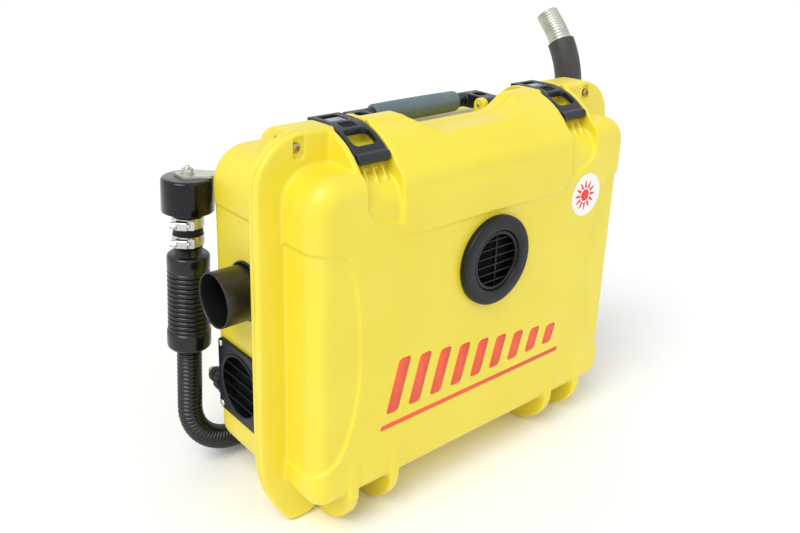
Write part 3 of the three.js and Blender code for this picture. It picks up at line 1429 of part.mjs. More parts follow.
function heatExchanger() {
  const barrel = rod("x", exchangerLeft, exchangerRight, HEATER_Y, HEATER_Z, EXCHANGER_RADIUS, MEDIUM);
  const fins = [];
  for (let i = 0; i < EXCHANGER_FINS; i++) {
    const geometry = new THREE.BoxGeometry(EXCHANGER_LENGTH - 10, 2, EXCHANGER_FIN_RADIUS - 10);
    geometry.translate((exchangerLeft + exchangerRight) / 2, 0, (EXCHANGER_FIN_RADIUS + 10) / 2);
    geometry.rotateX((i * 2 * Math.PI) / EXCHANGER_FINS + 0.2).translate(0, HEATER_Y, HEATER_Z);
    fins.push(solid(geometry));
  }
  const plateHalf = HEATER_HALF_DEPTH - CASING_WALL - GAP;
  const plate = box(
    exchangerRight - 4,
    exchangerRight,
    HEATER_Y - plateHalf,
    HEATER_Y + plateHalf,
    HEATER_Z - 30,
    HEATER_Z + 30,
  );
  const chamber = rod("x", exchangerLeft + 4, exchangerRight + 1, HEATER_Y, HEATER_Z, EXCHANGER_RADIUS - 3, MEDIUM);
  return cut(join(barrel, plate, ...fins), chamber);
}

function burnerTube() {
  const left = exchangerLeft + 40;
  const right = exchangerRight + 8;
  const head = rod("x", exchangerRight + GAP, right, HEATER_Y, HEATER_Z, EXCHANGER_RADIUS + 4, MEDIUM);
  const tube = rod("x", left, exchangerRight + 2, HEATER_Y, HEATER_Z, BURNER_RADIUS, MEDIUM);
  const bore = rod("x", left - 1, exchangerRight - 2, HEATER_Y, HEATER_Z, BURNER_RADIUS - 2, MEDIUM);
  const plug = rod("y", HEATER_Y - 30, HEATER_Y - 16, exchangerRight + 4, HEATER_Z, 2.6, SMALL);
  return cut(join(head, tube), bore, plug);
}

function glowPlug() {
  const x = exchangerRight + 4.2;
  return join(
    rod("y", HEATER_Y - 29.4, HEATER_Y - 17, x, HEATER_Z, 2, SMALL),
    rod("y", HEATER_Y - 36, HEATER_Y - 29, x, HEATER_Z, 4, 6),
  );
}

const motorLeft = exchangerRight + 8 + GAP;
const motorRight = motorLeft + MOTOR_LENGTH;
const fanLeft = motorRight + 8;

function fanMotor() {
  const can = rod("x", motorLeft, motorRight, HEATER_Y, HEATER_Z, MOTOR_RADIUS, MEDIUM);
  const shaft = rod("x", motorRight - 1, fanLeft + 16, HEATER_Y, HEATER_Z, SHAFT_RADIUS, SMALL);
  return join(can, shaft);
}

function fanWheel() {
  const hub = rod("x", fanLeft, fanLeft + 14, HEATER_Y, HEATER_Z, 12, MEDIUM);
  const bore = rod("x", fanLeft - 1, fanLeft + 15, HEATER_Y, HEATER_Z, SHAFT_RADIUS + GAP, SMALL);
  const blades = [];
  for (let i = 0; i < FAN_BLADES; i++) {
    const geometry = new THREE.BoxGeometry(2, 15, FAN_RADIUS - 9);
    geometry.rotateZ(rad(35)).translate(fanLeft + 7, 0, (FAN_RADIUS + 9) / 2);
    geometry.rotateX((i * 2 * Math.PI) / FAN_BLADES).translate(0, HEATER_Y, HEATER_Z);
    blades.push(solid(geometry));
  }
  return cut(join(hub, ...blades), bore);
}

function fanGuard() {
  const left = HEATER_RIGHT + GAP;
  const outline = beam(casingOutline(0), left, left + 3, 2);
  const opening = ring("x", left - 1, left + 4, HEATER_Y, HEATER_Z, FAN_RADIUS, 14, LARGE);
  const bars = [
    box(left, left + 3, HEATER_Y - FAN_RADIUS - 1, HEATER_Y + FAN_RADIUS + 1, HEATER_Z - 2, HEATER_Z + 2),
    box(left, left + 3, HEATER_Y - 2, HEATER_Y + 2, HEATER_Z - FAN_RADIUS - 1, HEATER_Z + FAN_RADIUS + 1),
  ];
  return join(cut(outline, opening), ...bars);
}

const plateBack = BASE_DEPTH - WALL - GAP;
const plateFront = plateBack - PLATE_THICKNESS;

function mountingPlate() {
  const spine = box(
    -PLATE_HALF_WIDTH,
    PLATE_HALF_WIDTH,
    plateFront,
    plateBack,
    HEATER_Z - PLATE_HALF_HEIGHT,
    HEATER_Z + PLATE_HALF_HEIGHT,
  );
  const back = HEATER_Y + HEATER_HALF_DEPTH + GAP;
  const pads = [HEATER_LEFT + 60, HEATER_RIGHT - 50].map((x) =>
    box(x - 10, x + 10, back, plateFront + 1, HEATER_Z - 40, HEATER_Z + 30),
  );
  return join(spine, ...pads);
}

function controlUnit() {
  const [width, depth, height] = CONTROL_SIZE;
  const back = plateBack;
  const outline = roundedRectangle(CONTROL_X - width / 2 + 30, HEATER_Z + 26, CONTROL_X + width / 2, HEATER_Z + 26 + height, 4);
  return slab(outline, back - depth, back);
}

const pumpY = BASE_DEPTH - WALL - GAP - PUMP_RADIUS - 4;

function fuelPump() {
  const left = PUMP_X - PUMP_LENGTH / 2;
  const right = PUMP_X + PUMP_LENGTH / 2;
  return join(
    rod("x", left, right, pumpY, PUMP_Z, PUMP_RADIUS, MEDIUM),
    rod("x", left - 14, left + 1, pumpY, PUMP_Z, 4, SMALL),
    rod("x", right - 1, right + 14, pumpY, PUMP_Z, 4, SMALL),
  );
}

function pumpMount() {
  const half = 12;
  const inner = PUMP_RADIUS + GAP;
  const hoop = ring("x", PUMP_X - half, PUMP_X + half, pumpY, PUMP_Z, inner + 3, inner, LARGE);
  const foot = box(
    PUMP_X - half,
    PUMP_X + half,
    pumpY + inner + 0.5,
    BASE_DEPTH - WALL - GAP,
    PUMP_Z - 22,
    PUMP_Z + 22,
  );
  return join(hoop, foot);
}

function fuelLine(points) {
  const curve = new THREE.CatmullRomCurve3(points.map((p) => new THREE.Vector3(...p)), false, "centripetal");
  return pipe(curve, FUEL_LINE_RADIUS, 0, 14, 8);
}

function supplyLine() {
  const start = BASE_DEPTH - 10 - GAP;
  const left = PUMP_X - PUMP_LENGTH / 2 - 14 - GAP;
  return fuelLine([
    [CONNECTOR_X, start, CONNECTOR_Z],
    [CONNECTOR_X + 4, start - 14, CONNECTOR_Z],
    [(CONNECTOR_X + left) / 2, pumpY + 2, PUMP_Z + 8],
    [left - 12, pumpY, PUMP_Z],
    [left, pumpY, PUMP_Z],
  ]);
}

function deliveryLine() {
  const right = PUMP_X + PUMP_LENGTH / 2 + 14 + GAP;
  const bottom = HEATER_Z - HEATER_HALF_HEIGHT - GAP;
  return fuelLine([
    [right, pumpY, PUMP_Z],
    [right + 12, pumpY, PUMP_Z],
    [right + 30, HEATER_Y - 10, PUMP_Z + 40],
    [right + 30, HEATER_Y - 14, bottom - 12],
    [right + 30, HEATER_Y - 14, bottom],
  ]);
}

function intakeInner() {
  const start = BASE_DEPTH - ELBOW_SPIGOT - GAP;
  const bottom = HEATER_Z - HEATER_HALF_HEIGHT - GAP;
  const route = new BentRoute({
    start: new THREE.Vector3(elbowX, start, elbowPortZ),
    along: new THREE.Vector3(0, -1, 0),
    toward: new THREE.Vector3(0, 0, 1),
    lead: start - HEATER_Y - 30,
    radius: 30,
    angle: Math.PI / 2,
    tail: bottom - elbowPortZ - 30,
  });
  return bentPipe(route, HOSE_ROOT, HOSE_BORE, SMALL);
}

// ---- Assembly ----
add("lid_shell", lidShell(), YELLOW());
add("base_shell", baseShell(), YELLOW());
add("rim_seal", rimSeal(), RUBBER());
for (const [word, side] of SIDES) {
  add(`hinge_pin_${word}`, hingePin(side), STEEL());
  add(`latch_${word}`, latchBody(side), SLATE());
  add(`latch_slide_${word}`, latchSlide(side), GREY());
  add(`latch_pin_${word}`, latchPin(side), STEEL());
  add(`padlock_screw_${word}`, padlockScrew(side), STEEL());
  add(`handle_pin_${word}`, handlePin(side), STEEL());
}
add("handle_frame", handleFrame(), SLATE());
add("handle_grip", handleGrip(), GREY());
add("vent_ring", ventRing(), SLATE());
add("vent_grille", ventGrille(), SLATE());

add("outlet_duct", outletDuct(), SLATE());
add("outlet_collar", outletCollar(), SLATE());
add("inlet_grille", inletGrille(), SLATE());
grilleScrewPlaces().forEach(([y, z], i) => add(`grille_screw_${i + 1}`, grilleScrew(y, z), STEEL()));

add("intake_can", intakeCan(), BLACK(), stackTurn);
add("intake_bracket", intakeBracket(), STEEL(), stackTurn);
add("bracket_screw", bracketScrew(), STEEL(), stackTurn);
add("cap_bolt", capBolt(), STEEL(), stackTurn);
add("rubber_sleeve", rubberSleeve(), RUBBER(), stackTurn);
add("hose_clamp_upper", hoseClamp(UPPER_CLAMP_Z), STEEL(), stackTurn);
add("hose_clamp_lower", hoseClamp(LOWER_CLAMP_Z), STEEL(), stackTurn);
add("intake_silencer", silencer(), BLACK(), stackTurn);
add("intake_hose", intakeHose(), BLACK());
add("intake_elbow", intakeElbow(), BLACK());
add("fuel_connector", fuelConnector(), BLACK());
add("fuel_barb", fuelBarb(), BRASS());

add("exhaust_flange", exhaustFlange(), STEEL());
add("exhaust_riser", exhaustRiser(), STEEL());
add("exhaust_flex", exhaustFlex(), STEEL());
add("exhaust_sleeve", exhaustSleeve(), RUBBER());
add("exhaust_clip", exhaustClip(), STEEL());
add("exhaust_inner", exhaustInner(), STEEL());

add("casing_upper", casingHalf(true), SLATE());
add("casing_lower", casingHalf(false), SLATE());
add("outlet_nozzle", outletNozzle(), SLATE());
add("heat_exchanger", heatExchanger(), CAST());
add("burner_tube", burnerTube(), STEEL());
add("glow_plug", glowPlug(), STEEL());
add("fan_motor", fanMotor(), STEEL());
add("fan_wheel", fanWheel(), BLACK());
add("fan_guard", fanGuard(), BLACK());
add("mounting_plate", mountingPlate(), STEEL());
add("control_unit", controlUnit(), BLACK());
add("fuel_pump", fuelPump(), STEEL());
add("pump_mount", pumpMount(), RUBBER());
add("supply_line", supplyLine(), BLACK());
add("delivery_line", deliveryLine(), BLACK());
add("intake_inner", intakeInner(), BLACK());

const bounds = new THREE.Box3().setFromObject(assembly);
const middle = bounds.getCenter(new THREE.Vector3());
assembly.position.set(-middle.x, -middle.y, -bounds.min.z);

const heater = new THREE.Group();
heater.add(assembly);
export default heater;
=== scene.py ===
import json
import math

import bmesh
import bpy
from mathutils import Matrix, Vector, noise
from mathutils.bvhtree import BVHTree


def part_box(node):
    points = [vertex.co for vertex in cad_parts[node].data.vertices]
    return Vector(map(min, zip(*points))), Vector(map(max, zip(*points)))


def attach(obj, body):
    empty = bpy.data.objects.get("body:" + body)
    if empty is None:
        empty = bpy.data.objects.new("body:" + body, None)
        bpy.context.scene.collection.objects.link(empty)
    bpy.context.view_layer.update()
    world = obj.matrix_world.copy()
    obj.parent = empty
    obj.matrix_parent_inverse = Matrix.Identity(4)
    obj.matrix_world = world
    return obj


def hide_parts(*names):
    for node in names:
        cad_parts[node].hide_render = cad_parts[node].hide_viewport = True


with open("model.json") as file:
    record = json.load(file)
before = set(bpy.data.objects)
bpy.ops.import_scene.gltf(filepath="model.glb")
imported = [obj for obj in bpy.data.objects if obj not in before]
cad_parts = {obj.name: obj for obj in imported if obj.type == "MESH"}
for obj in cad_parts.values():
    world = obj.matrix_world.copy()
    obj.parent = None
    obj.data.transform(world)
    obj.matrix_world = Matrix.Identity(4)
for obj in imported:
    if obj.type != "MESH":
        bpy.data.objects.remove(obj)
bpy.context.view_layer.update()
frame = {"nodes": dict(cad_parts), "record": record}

# ---- Sizes in millimetres: x across, y from the parting plane (lid -, base +), z from the ground ----
LID_DEPTH = 63
BASE_DEPTH = 120
RIM_TOP = 446
RIM_BOTTOM = 6.5
RIM_HALF = 273
RIM_THICKNESS = 8
LID_HALF = 243
BASE_HALF = 250
BODY_BOTTOM = 45
BODY_TOP = 410
LATCH_X = 157
HINGE_X = 161.5
FOOT_SPREAD = 29
HEATER_Y = 50
HEATER_Z = 266
VENT_X = 5
VENT_Z = 277
STACK_X = -264
STACK_Y = 147
STACK_TILT = 2.3
STACK_TILT_Z = 345
EXHAUST_X = 290
EXHAUST_Y = 68
EXHAUST_Z = 181
INLET_Y = 64
INLET_Z = 144
SOCKET_X = -233
SOCKET_Z = 110
PADLOCK_X = 225
PADLOCK_Z = 431
PIVOT_Y = 34
GRIP_Y = 70
HANDLE_Z = 427
TROUGH_FLOOR = 427.5
RIB_TOP = 109
PARTING = 0.3  # the base starts this far behind the parting plane
SWEEP = (17, 366)  # middle of the round that the latches and their channels follow, in y and z
CHANNEL_RADIUS = 70.5
HOSE_Z = 22
HOSE_BEND = 62
PORT_Z = 76  # the height at which the intake elbow enters the back wall
SIDES = (("left", -1), ("right", 1))

MM = 0.001
lid_low, lid_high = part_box("lid_shell")
ORIGIN = Vector(((lid_low.x + lid_high.x) / 2, lid_low.y + LID_DEPTH * MM, 0))
TO_PART = Matrix.Translation(ORIGIN) @ Matrix.Diagonal((MM, MM, MM, 1))
LEAN = (
    Matrix.Translation((STACK_X, 0, STACK_TILT_Z))
    @ Matrix.Rotation(math.radians(STACK_TILT), 4, "Y")
    @ Matrix.Translation((-STACK_X, 0, -STACK_TILT_Z))
)
SKIN = 1.5  # size of the mesh cells of the two big mouldings


def near(node, corner):
    """A corner of a CAD node's box in case millimetres."""
    return (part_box(node)[corner] - ORIGIN) / MM


# ---- Shapes ----
def block(x0, x1, y0, y1, z0, z1):
    shape = bmesh.new()
    place = Matrix.Translation(((x0 + x1) / 2, (y0 + y1) / 2, (z0 + z1) / 2))
    size = Matrix.Diagonal((x1 - x0, y1 - y0, z1 - z0, 1))
    bmesh.ops.create_cube(shape, size=1, matrix=place @ size)
    return shape


def round_off(shape, radius, steps=4, along=None, **planes):
    """Rounds the edges that lie on the given planes and, if named, run along an axis."""
    chosen = []
    for edge in shape.edges:
        ends = [vert.co for vert in edge.verts]
        lies = all(abs(co["xyz".index(axis)] - value) < 0.01 for axis, value in planes.items() for co in ends)
        run = (ends[1] - ends[0]).normalized()
        if lies and (along is None or abs(run["xyz".index(along)]) > 0.99):
            chosen.append(edge)
    bmesh.ops.bevel(
        shape, geom=chosen, offset=radius, offset_type="OFFSET", segments=steps, profile=0.5,
        affect="EDGES", material=-1,
    )
    return shape


def side_block(side, x0, x1, *rest):
    """A block between two distances from the middle, on one side."""
    return block(min(side * x0, side * x1), max(side * x0, side * x1), *rest)


TURNS = {
    "x": Matrix.Rotation(math.pi / 2, 4, "Y"),
    "y": Matrix.Rotation(-math.pi / 2, 4, "X"),
    "z": Matrix.Identity(4),
}


def on_axis(axis, a, b, height=0):
    """Moves a shape made on the Z axis to an axis line; a and b are the line's other coordinates."""
    place = {"x": (height, a, b), "y": (a, height, b), "z": (a, b, height)}[axis]
    return Matrix.Translation(place) @ TURNS[axis]


def rod(axis, start, end, a, b, radius, sides=64, tip=None):
    shape = bmesh.new()
    bmesh.ops.create_cone(
        shape, cap_ends=True, segments=sides, radius1=radius, radius2=radius if tip is None else tip,
        depth=end - start, matrix=on_axis(axis, a, b, (start + end) / 2),
    )
    return shape


def turned(axis, profile, a=0, b=0, steps=96):
    """A closed profile of (radius, height) points spun round an axis line."""
    shape = bmesh.new()
    verts = [shape.verts.new((radius, 0, height)) for radius, height in profile]
    edges = [shape.edges.new(pair) for pair in zip(verts, verts[1:])]
    bmesh.ops.spin(
        shape, geom=verts + edges, cent=(0, 0, 0), axis=(0, 0, 1), dvec=(0, 0, 0),
        angle=2 * math.pi, steps=steps, use_merge=True, use_duplicate=False,
    )
    bmesh.ops.remove_doubles(shape, verts=shape.verts, dist=0.001)
    shape.transform(on_axis(axis, a, b))
    bmesh.ops.recalc_face_normals(shape, faces=shape.faces)
    return shape


def loop(*points):
    """The points with the first one again at the end."""
    return [*points, points[0]]


def prism(axis, outline, low, high):
    shape = bmesh.new()
    at = {"x": lambda p, q: (low, p, q), "y": lambda p, q: (p, low, q), "z": lambda p, q: (p, q, low)}[axis]
    face = shape.faces.new([shape.verts.new(at(p, q)) for p, q in outline])
    made = bmesh.ops.extrude_face_region(shape, geom=[face])["geom"]
    shift = Vector([high - low if name == axis else 0 for name in "xyz"])
    verts = [item for item in made if isinstance(item, bmesh.types.BMVert)]
    bmesh.ops.translate(shape, vec=shift, verts=verts)
    bmesh.ops.recalc_face_normals(shape, faces=shape.faces)
    return shape


def arc(centre, radius, start, end, steps=16):
    """Points on a round, angles in degrees from the first axis."""
    points = []
    for i in range(steps + 1):
        angle = math.radians(start + (end - start) * i / steps)
        points.append((centre[0] + radius * math.cos(angle), centre[1] + radius * math.sin(angle)))
    return points


def gather(*shapes):
    """Several closed shapes as one mesh."""
    whole = bmesh.new()
    for shape in shapes:
        mesh = bpy.data.meshes.new("shape")
        shape.to_mesh(mesh)
        whole.from_mesh(mesh)
        bpy.data.meshes.remove(mesh)
    return whole


def carve(*steps, skin=0, smooth=0, keep=1.0):
    """Joins (+), cuts (-) or keeps the common part (&) of solids in order, then may give it a soft skin."""
    kinds = {"+": "UNION", "-": "DIFFERENCE", "&": "INTERSECT"}
    made = []
    for _, shape in steps:
        mesh = bpy.data.meshes.new("step")
        shape.to_mesh(mesh)
        made.append(bpy.data.objects.new("step", mesh))
        bpy.context.scene.collection.objects.link(made[-1])
    body = made[0]
    for (way, _), tool in zip(steps[1:], made[1:]):
        step = body.modifiers.new("step", "BOOLEAN")
        step.operation, step.object, step.solver = kinds[way], tool, "MANIFOLD"
    if skin:
        remesh = body.modifiers.new("skin", "REMESH")
        remesh.mode, remesh.voxel_size = "VOXEL", skin
        soften = body.modifiers.new("soften", "SMOOTH")
        soften.factor, soften.iterations = 0.5, smooth
        if keep < 1:
            body.modifiers.new("thin", "DECIMATE").ratio = keep
    depsgraph = bpy.context.evaluated_depsgraph_get()
    result = bpy.data.meshes.new_from_object(body.evaluated_get(depsgraph))
    shape = bmesh.new()
    shape.from_mesh(result)
    bpy.data.meshes.remove(result)
    for item in made:
        bpy.data.meshes.remove(item.data)
    return shape


class Route:
    """A straight run, one bend and a second straight run."""

    def __init__(self, start, along, toward, lead, radius, angle, tail):
        self.start, self.along, self.toward = Vector(start), Vector(along), Vector(toward)
        self.lead, self.radius, self.angle, self.tail = lead, radius, angle, tail
        self.length = lead + radius * angle + tail
        self.side = self.along.cross(self.toward)

    def at(self, distance):
        """The point, its direction toward the inside of the bend, and the way on."""
        turn = min(max((distance - self.lead) / self.radius, 0), self.angle)
        before = min(distance, self.lead)
        after = max(distance - self.lead - self.radius * self.angle, 0)
        inward = self.toward * math.cos(turn) - self.along * math.sin(turn)
        onward = self.along * math.cos(turn) + self.toward * math.sin(turn)
        centre = self.start + self.along * before + self.toward * self.radius
        return centre - inward * self.radius + onward * after, inward, onward


def follow(shape, route):
    """Lays a straight tube made on the Z axis along a route."""
    for vert in shape.verts:
        point, inward, _ = route.at(vert.co.z)
        vert.co = point + inward * vert.co.x + route.side * vert.co.y
    bmesh.ops.recalc_face_normals(shape, faces=shape.faces)
    return shape


def ribbed(route, pitch, crest, root, bore, steps=72, sharp=0.6, uneven=0.0):
    """A corrugated tube along a route."""
    ribs = round(route.length / pitch)
    samples = 6
    outside = []
    for i in range(ribs * samples + 1):
        rib, phase = divmod(i, samples)
        height = math.sin(math.pi * phase / samples) ** sharp
        wobble = uneven * noise.noise((rib * 1.7, 0, 0))
        outside.append((root + (crest - root) * height + wobble, i / samples * route.length / ribs))
    inside = [(bore, route.length * i / 40) for i in range(40, -1, -1)]
    return follow(turned("z", loop(*outside, *inside), steps=steps), route)


def plain_tube(route, outer, inner, steps=64, rings=60):
    """A smooth tube along a route."""
    outside = [(outer, route.length * i / rings) for i in range(rings + 1)]
    inside = [(inner, height) for _, height in reversed(outside)]
    return follow(turned("z", loop(*outside, *inside), steps=steps), route)


def cross_screw(radius, height, shank, length):
    """A pan-head screw with a cross recess, head up, its seat at zero."""
    dome = [(radius * math.cos(a), height * math.sin(a)) for a in (i * math.pi / 16 for i in range(8))]
    head = turned("z", loop((0, -length), (shank, -length), (shank, 0), *dome, (0, height)), steps=40)
    deep, wide, long = height * 0.3, radius * 0.13, radius * 0.62
    arms = [block(-long, long, -wide, wide, deep, height * 2),
            block(-wide, wide, -long, long, deep, height * 2)]
    return carve(("+", head), ("-", arms[0]), ("-", arms[1]))


# ---- Materials ----
def put(tree, kind, inputs=None, **settings):
    """A shader node with its settings, its values and its links."""
    node = tree.nodes.new("ShaderNode" + kind)
    for name, value in settings.items():
        setattr(node, name, value)
    for name, value in (inputs or {}).items():
        if isinstance(value, bpy.types.NodeSocket):
            tree.links.new(value, node.inputs[name])
        else:
            node.inputs[name].default_value = value
    return node


def sum_of(tree, operation, a, b, limit=False):
    return put(tree, "Math", {0: a, 1: b}, operation=operation, use_clamp=limit).outputs[0]


def noise_in(tree, place, scale, detail, roughness=0.5):
    inputs = {"Vector": place, "Scale": scale, "Detail": detail, "Roughness": roughness}
    return put(tree, "TexNoise", inputs).outputs["Fac"]


def span(tree, value, low, high, to_low, to_high):
    """Stretches a value from one range to another."""
    names = ("Value", "From Min", "From Max", "To Min", "To Max")
    return put(tree, "MapRange", dict(zip(names, (value, low, high, to_low, to_high)))).outputs[0]


def blend_colours(tree, factor, a, b, way="MIX"):
    node = put(tree, "Mix", {0: factor, 6: a, 7: b}, data_type="RGBA", blend_type=way)
    return node.outputs[2]


def node_group(name, inputs, outputs):
    tree = bpy.data.node_groups.new(name, "ShaderNodeTree")
    for label, kind in inputs.items():
        tree.interface.new_socket(label, in_out="INPUT", socket_type="NodeSocket" + kind)
    for label, kind in outputs.items():
        tree.interface.new_socket(label, in_out="OUTPUT", socket_type="NodeSocket" + kind)
    return tree, tree.nodes.new("NodeGroupInput").outputs, tree.nodes.new("NodeGroupOutput").inputs


def moulded_surface():
    """Plastic and rubber: cloudy colour, patchy sheen, a fine grain and a few faint rub marks."""
    tree, given, out = node_group(
        "moulded_surface",
        {"Color": "Color", "Cloud Color": "Color", "Roughness": "Float", "Grain Scale": "Float",
         "Marks": "Float"},
        {"Color": "Color", "Roughness": "Float", "Height": "Float"},
    )
    place = put(tree, "TexCoord").outputs["Object"]
    cloud = noise_in(tree, place, 11.0, 3.0)
    mottle = noise_in(tree, place, 140.0, 4.0)
    grain = noise_in(tree, place, given["Grain Scale"], 2.0)
    pits = put(tree, "TexVoronoi", {"Vector": place, "Scale": given["Grain Scale"]}).outputs["Distance"]
    stretch = {"Vector": place, "Scale": (60.0, 60.0, 9.0), "Rotation": (0.5, 0.7, 0.2)}
    marks = noise_in(tree, put(tree, "Mapping", stretch).outputs[0], 1.0, 6.0, 0.75)
    rubbed = span(tree, marks, 0.66, 0.74, 0.0, 1.0)
    rubbed = sum_of(tree, "MULTIPLY", rubbed, given["Marks"])
    cloudy = span(tree, cloud, 0.35, 0.7, 0.0, 1.0)
    clouded = blend_colours(tree, cloudy, given["Color"], given["Cloud Color"])
    tree.links.new(blend_colours(tree, rubbed, clouded, (0.8, 0.8, 0.78, 1.0)), out["Color"])
    rough = sum_of(tree, "ADD", given["Roughness"], span(tree, cloud, 0.3, 0.7, -0.05, 0.05))
    rough = sum_of(tree, "ADD", rough, span(tree, mottle, 0.3, 0.7, -0.04, 0.04))
    tree.links.new(sum_of(tree, "ADD", rough, sum_of(tree, "MULTIPLY", rubbed, 0.8)), out["Roughness"])
    tree.links.new(sum_of(tree, "SUBTRACT", grain, sum_of(tree, "MULTIPLY", pits, 0.6)), out["Height"])
    return tree


def metal_surface():
    """Metal: a warm or cold cast in patches, fine brushing along one way and dull spots."""
    tree, given, out = node_group(
        "metal_surface",
        {"Color": "Color", "Stain Color": "Color", "Roughness": "Float", "Brush": "Vector",
         "Stains": "Float"},
        {"Color": "Color", "Roughness": "Float", "Height": "Float"},
    )
    place = put(tree, "TexCoord").outputs["Object"]
    stains = noise_in(tree, place, 45.0, 5.0, 0.65)
    brushed = put(tree, "Mapping", {"Vector": place, "Scale": given["Brush"]}).outputs[0]
    lines = noise_in(tree, brushed, 1.0, 5.0, 0.7)
    dull = sum_of(tree, "MULTIPLY", span(tree, stains, 0.48, 0.7, 0.0, 1.0), given["Stains"])
    tree.links.new(blend_colours(tree, dull, given["Color"], given["Stain Color"]), out["Color"])
    rough = sum_of(tree, "ADD", given["Roughness"], span(tree, lines, 0.3, 0.7, -0.07, 0.1))
    tree.links.new(sum_of(tree, "ADD", rough, sum_of(tree, "MULTIPLY", dull, 0.25), True), out["Roughness"])
    tree.links.new(lines, out["Height"])
    return tree


GROUPS = {"moulded": moulded_surface(), "metal": metal_surface()}


def material(name, kind, values, bump, distance, **shader):
    """A principled material whose colour, roughness and bump come from one of the node groups."""
    made = bpy.data.materials.new(name)
    made.use_nodes = True
    tree = made.node_tree
    principled = tree.nodes["Principled BSDF"]
    surface = tree.nodes.new("ShaderNodeGroup")
    surface.node_tree = GROUPS[kind]
    for label, value in values.items():
        surface.inputs[label].default_value = value
    inputs = {"Height": surface.outputs["Height"], "Strength": bump, "Distance": distance}
    relief = put(tree, "Bump", inputs)
    tree.links.new(surface.outputs["Color"], principled.inputs["Base Color"])
    tree.links.new(surface.outputs["Roughness"], principled.inputs["Roughness"])
    tree.links.new(relief.outputs[0], principled.inputs["Normal"])
    for label, value in shader.items():
        principled.inputs[label.replace("_", " ")].default_value = value
    return made


def tone(red, green, blue, times=1.0):
    """A colour from its 0 to 255 values, as light."""
    light = []
    for value in (red, green, blue):
        value /= 255
        light.append(times * (value / 12.92 if value <= 0.04045 else ((value + 0.055) / 1.055) ** 2.4))
    return (*light, 1.0)


def plastic(name, colour, cloud, roughness, grain=900.0, bump=0.12, marks=0.0, **shader):
    values = {"Color": colour, "Cloud Color": cloud, "Roughness": roughness, "Grain Scale": grain,
              "Marks": marks}
    return material(name, "moulded", values, bump, 0.0004, **shader)


def metal(name, colour, stain, roughness, brush, stains=0.4, bump=0.08):
    values = {"Color": colour, "Stain Color": stain, "Roughness": roughness, "Brush": brush,
              "Stains": stains}
    return material(name, "metal", values, bump, 0.0003, Metallic=1.0)


FINISH = {
    "case_yellow": plastic(
        "case_yellow", tone(237, 219, 54), tone(235, 214, 45), 0.42, grain=1100.0, bump=0.1,
        marks=0.03, Coat_Weight=0.45, Coat_Roughness=0.42),
    "slate_plastic": plastic("slate_plastic", tone(24, 32, 37), tone(20, 27, 32), 0.33, marks=0.03,
                             Specular_IOR_Level=0.4),
    "grey_plastic": plastic("grey_plastic", tone(96, 114, 121), tone(89, 106, 113), 0.5, grain=700.0,
                            bump=0.35, marks=0.05),
    "black_plastic": plastic("black_plastic", tone(15, 19, 21), tone(12, 15, 17), 0.36, marks=0.03,
                             Specular_IOR_Level=0.3),
    "gloss_black": plastic("gloss_black", tone(6, 8, 9), tone(5, 6, 7), 0.12, grain=160.0, bump=0.01,
                           Specular_IOR_Level=0.2, Coat_Weight=1.0, Coat_IOR=1.25, Coat_Roughness=0.05),
    "hose_black": plastic("hose_black", tone(14, 17, 18), tone(19, 22, 23), 0.22, grain=600.0, bump=0.02,
                          marks=0.02, Specular_IOR_Level=0.45),
    "rubber": plastic("rubber", tone(17, 18, 18), tone(25, 25, 25), 0.6, grain=500.0, bump=0.3, marks=0.05,
                      Specular_IOR_Level=0.3),
    "steel": metal("steel", tone(208, 207, 202), tone(150, 146, 138), 0.26, (2500.0, 90.0, 90.0)),
    "cast_alloy": metal("cast_alloy", tone(165, 165, 162), tone(120, 118, 114), 0.45, (900.0, 900.0, 900.0),
                        bump=0.5),
    "brass": metal("brass", tone(176, 158, 112), tone(96, 82, 60), 0.3, (90.0, 2000.0, 90.0), 0.8),
}
EXTRA = {
    "slide_grey": plastic("slide_grey", tone(178, 188, 192), tone(165, 176, 182), 0.42),
    "duct_black": plastic("duct_black", tone(30, 29, 30), tone(22, 22, 24), 0.33, grain=420.0, bump=0.2,
                          marks=0.1),
    "handle_black": plastic("handle_black", tone(24, 30, 34), tone(20, 25, 29), 0.36, marks=0.03),
    "pipe_silver": metal("pipe_silver", tone(186, 190, 182), tone(140, 132, 112), 0.34,
                         (60.0, 60.0, 1500.0), 0.55),
    "heat_sleeve": plastic("heat_sleeve", tone(58, 56, 55), tone(44, 43, 43), 0.46, grain=260.0, bump=0.5,
                           marks=0.05),
    "print_red": plastic("print_red", tone(243, 96, 62), tone(238, 88, 56), 0.5),
    "badge_white": plastic("badge_white", tone(246, 244, 240), tone(240, 238, 233), 0.3, grain=300.0,
                           bump=0.03, Coat_Weight=0.3),
    "badge_red": plastic("badge_red", tone(235, 52, 34), tone(228, 46, 30), 0.32),
    "filter_dark": plastic("filter_dark", tone(8, 9, 10), tone(12, 12, 13), 0.8, grain=300.0, bump=0.8,
                           Specular_IOR_Level=0.2),
}


def piece(name, shape, finish, body, *nodes, bevel=0.0, lean=False, slot=None):
    """Turns a shape in case millimetres into a finished object that rides on a body."""
    if lean:
        shape.transform(LEAN)
    shape.transform(TO_PART)
    mesh = bpy.data.meshes.new(name)
    shape.to_mesh(mesh)
    shape.free()
    mesh.materials.append(FINISH.get(finish) or EXTRA[finish])
    mesh.shade_smooth()
    made = bpy.data.objects.new(name, mesh)
    bpy.context.scene.collection.objects.link(made)
    if bevel:
        edges = made.modifiers.new("edges", "BEVEL")
        edges.width, edges.segments = bevel * MM, 3
        edges.limit_method, edges.angle_limit = "ANGLE", math.radians(32)
        edges.harden_normals = True
    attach(made, body)
    if nodes:
        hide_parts(*nodes)
    return made


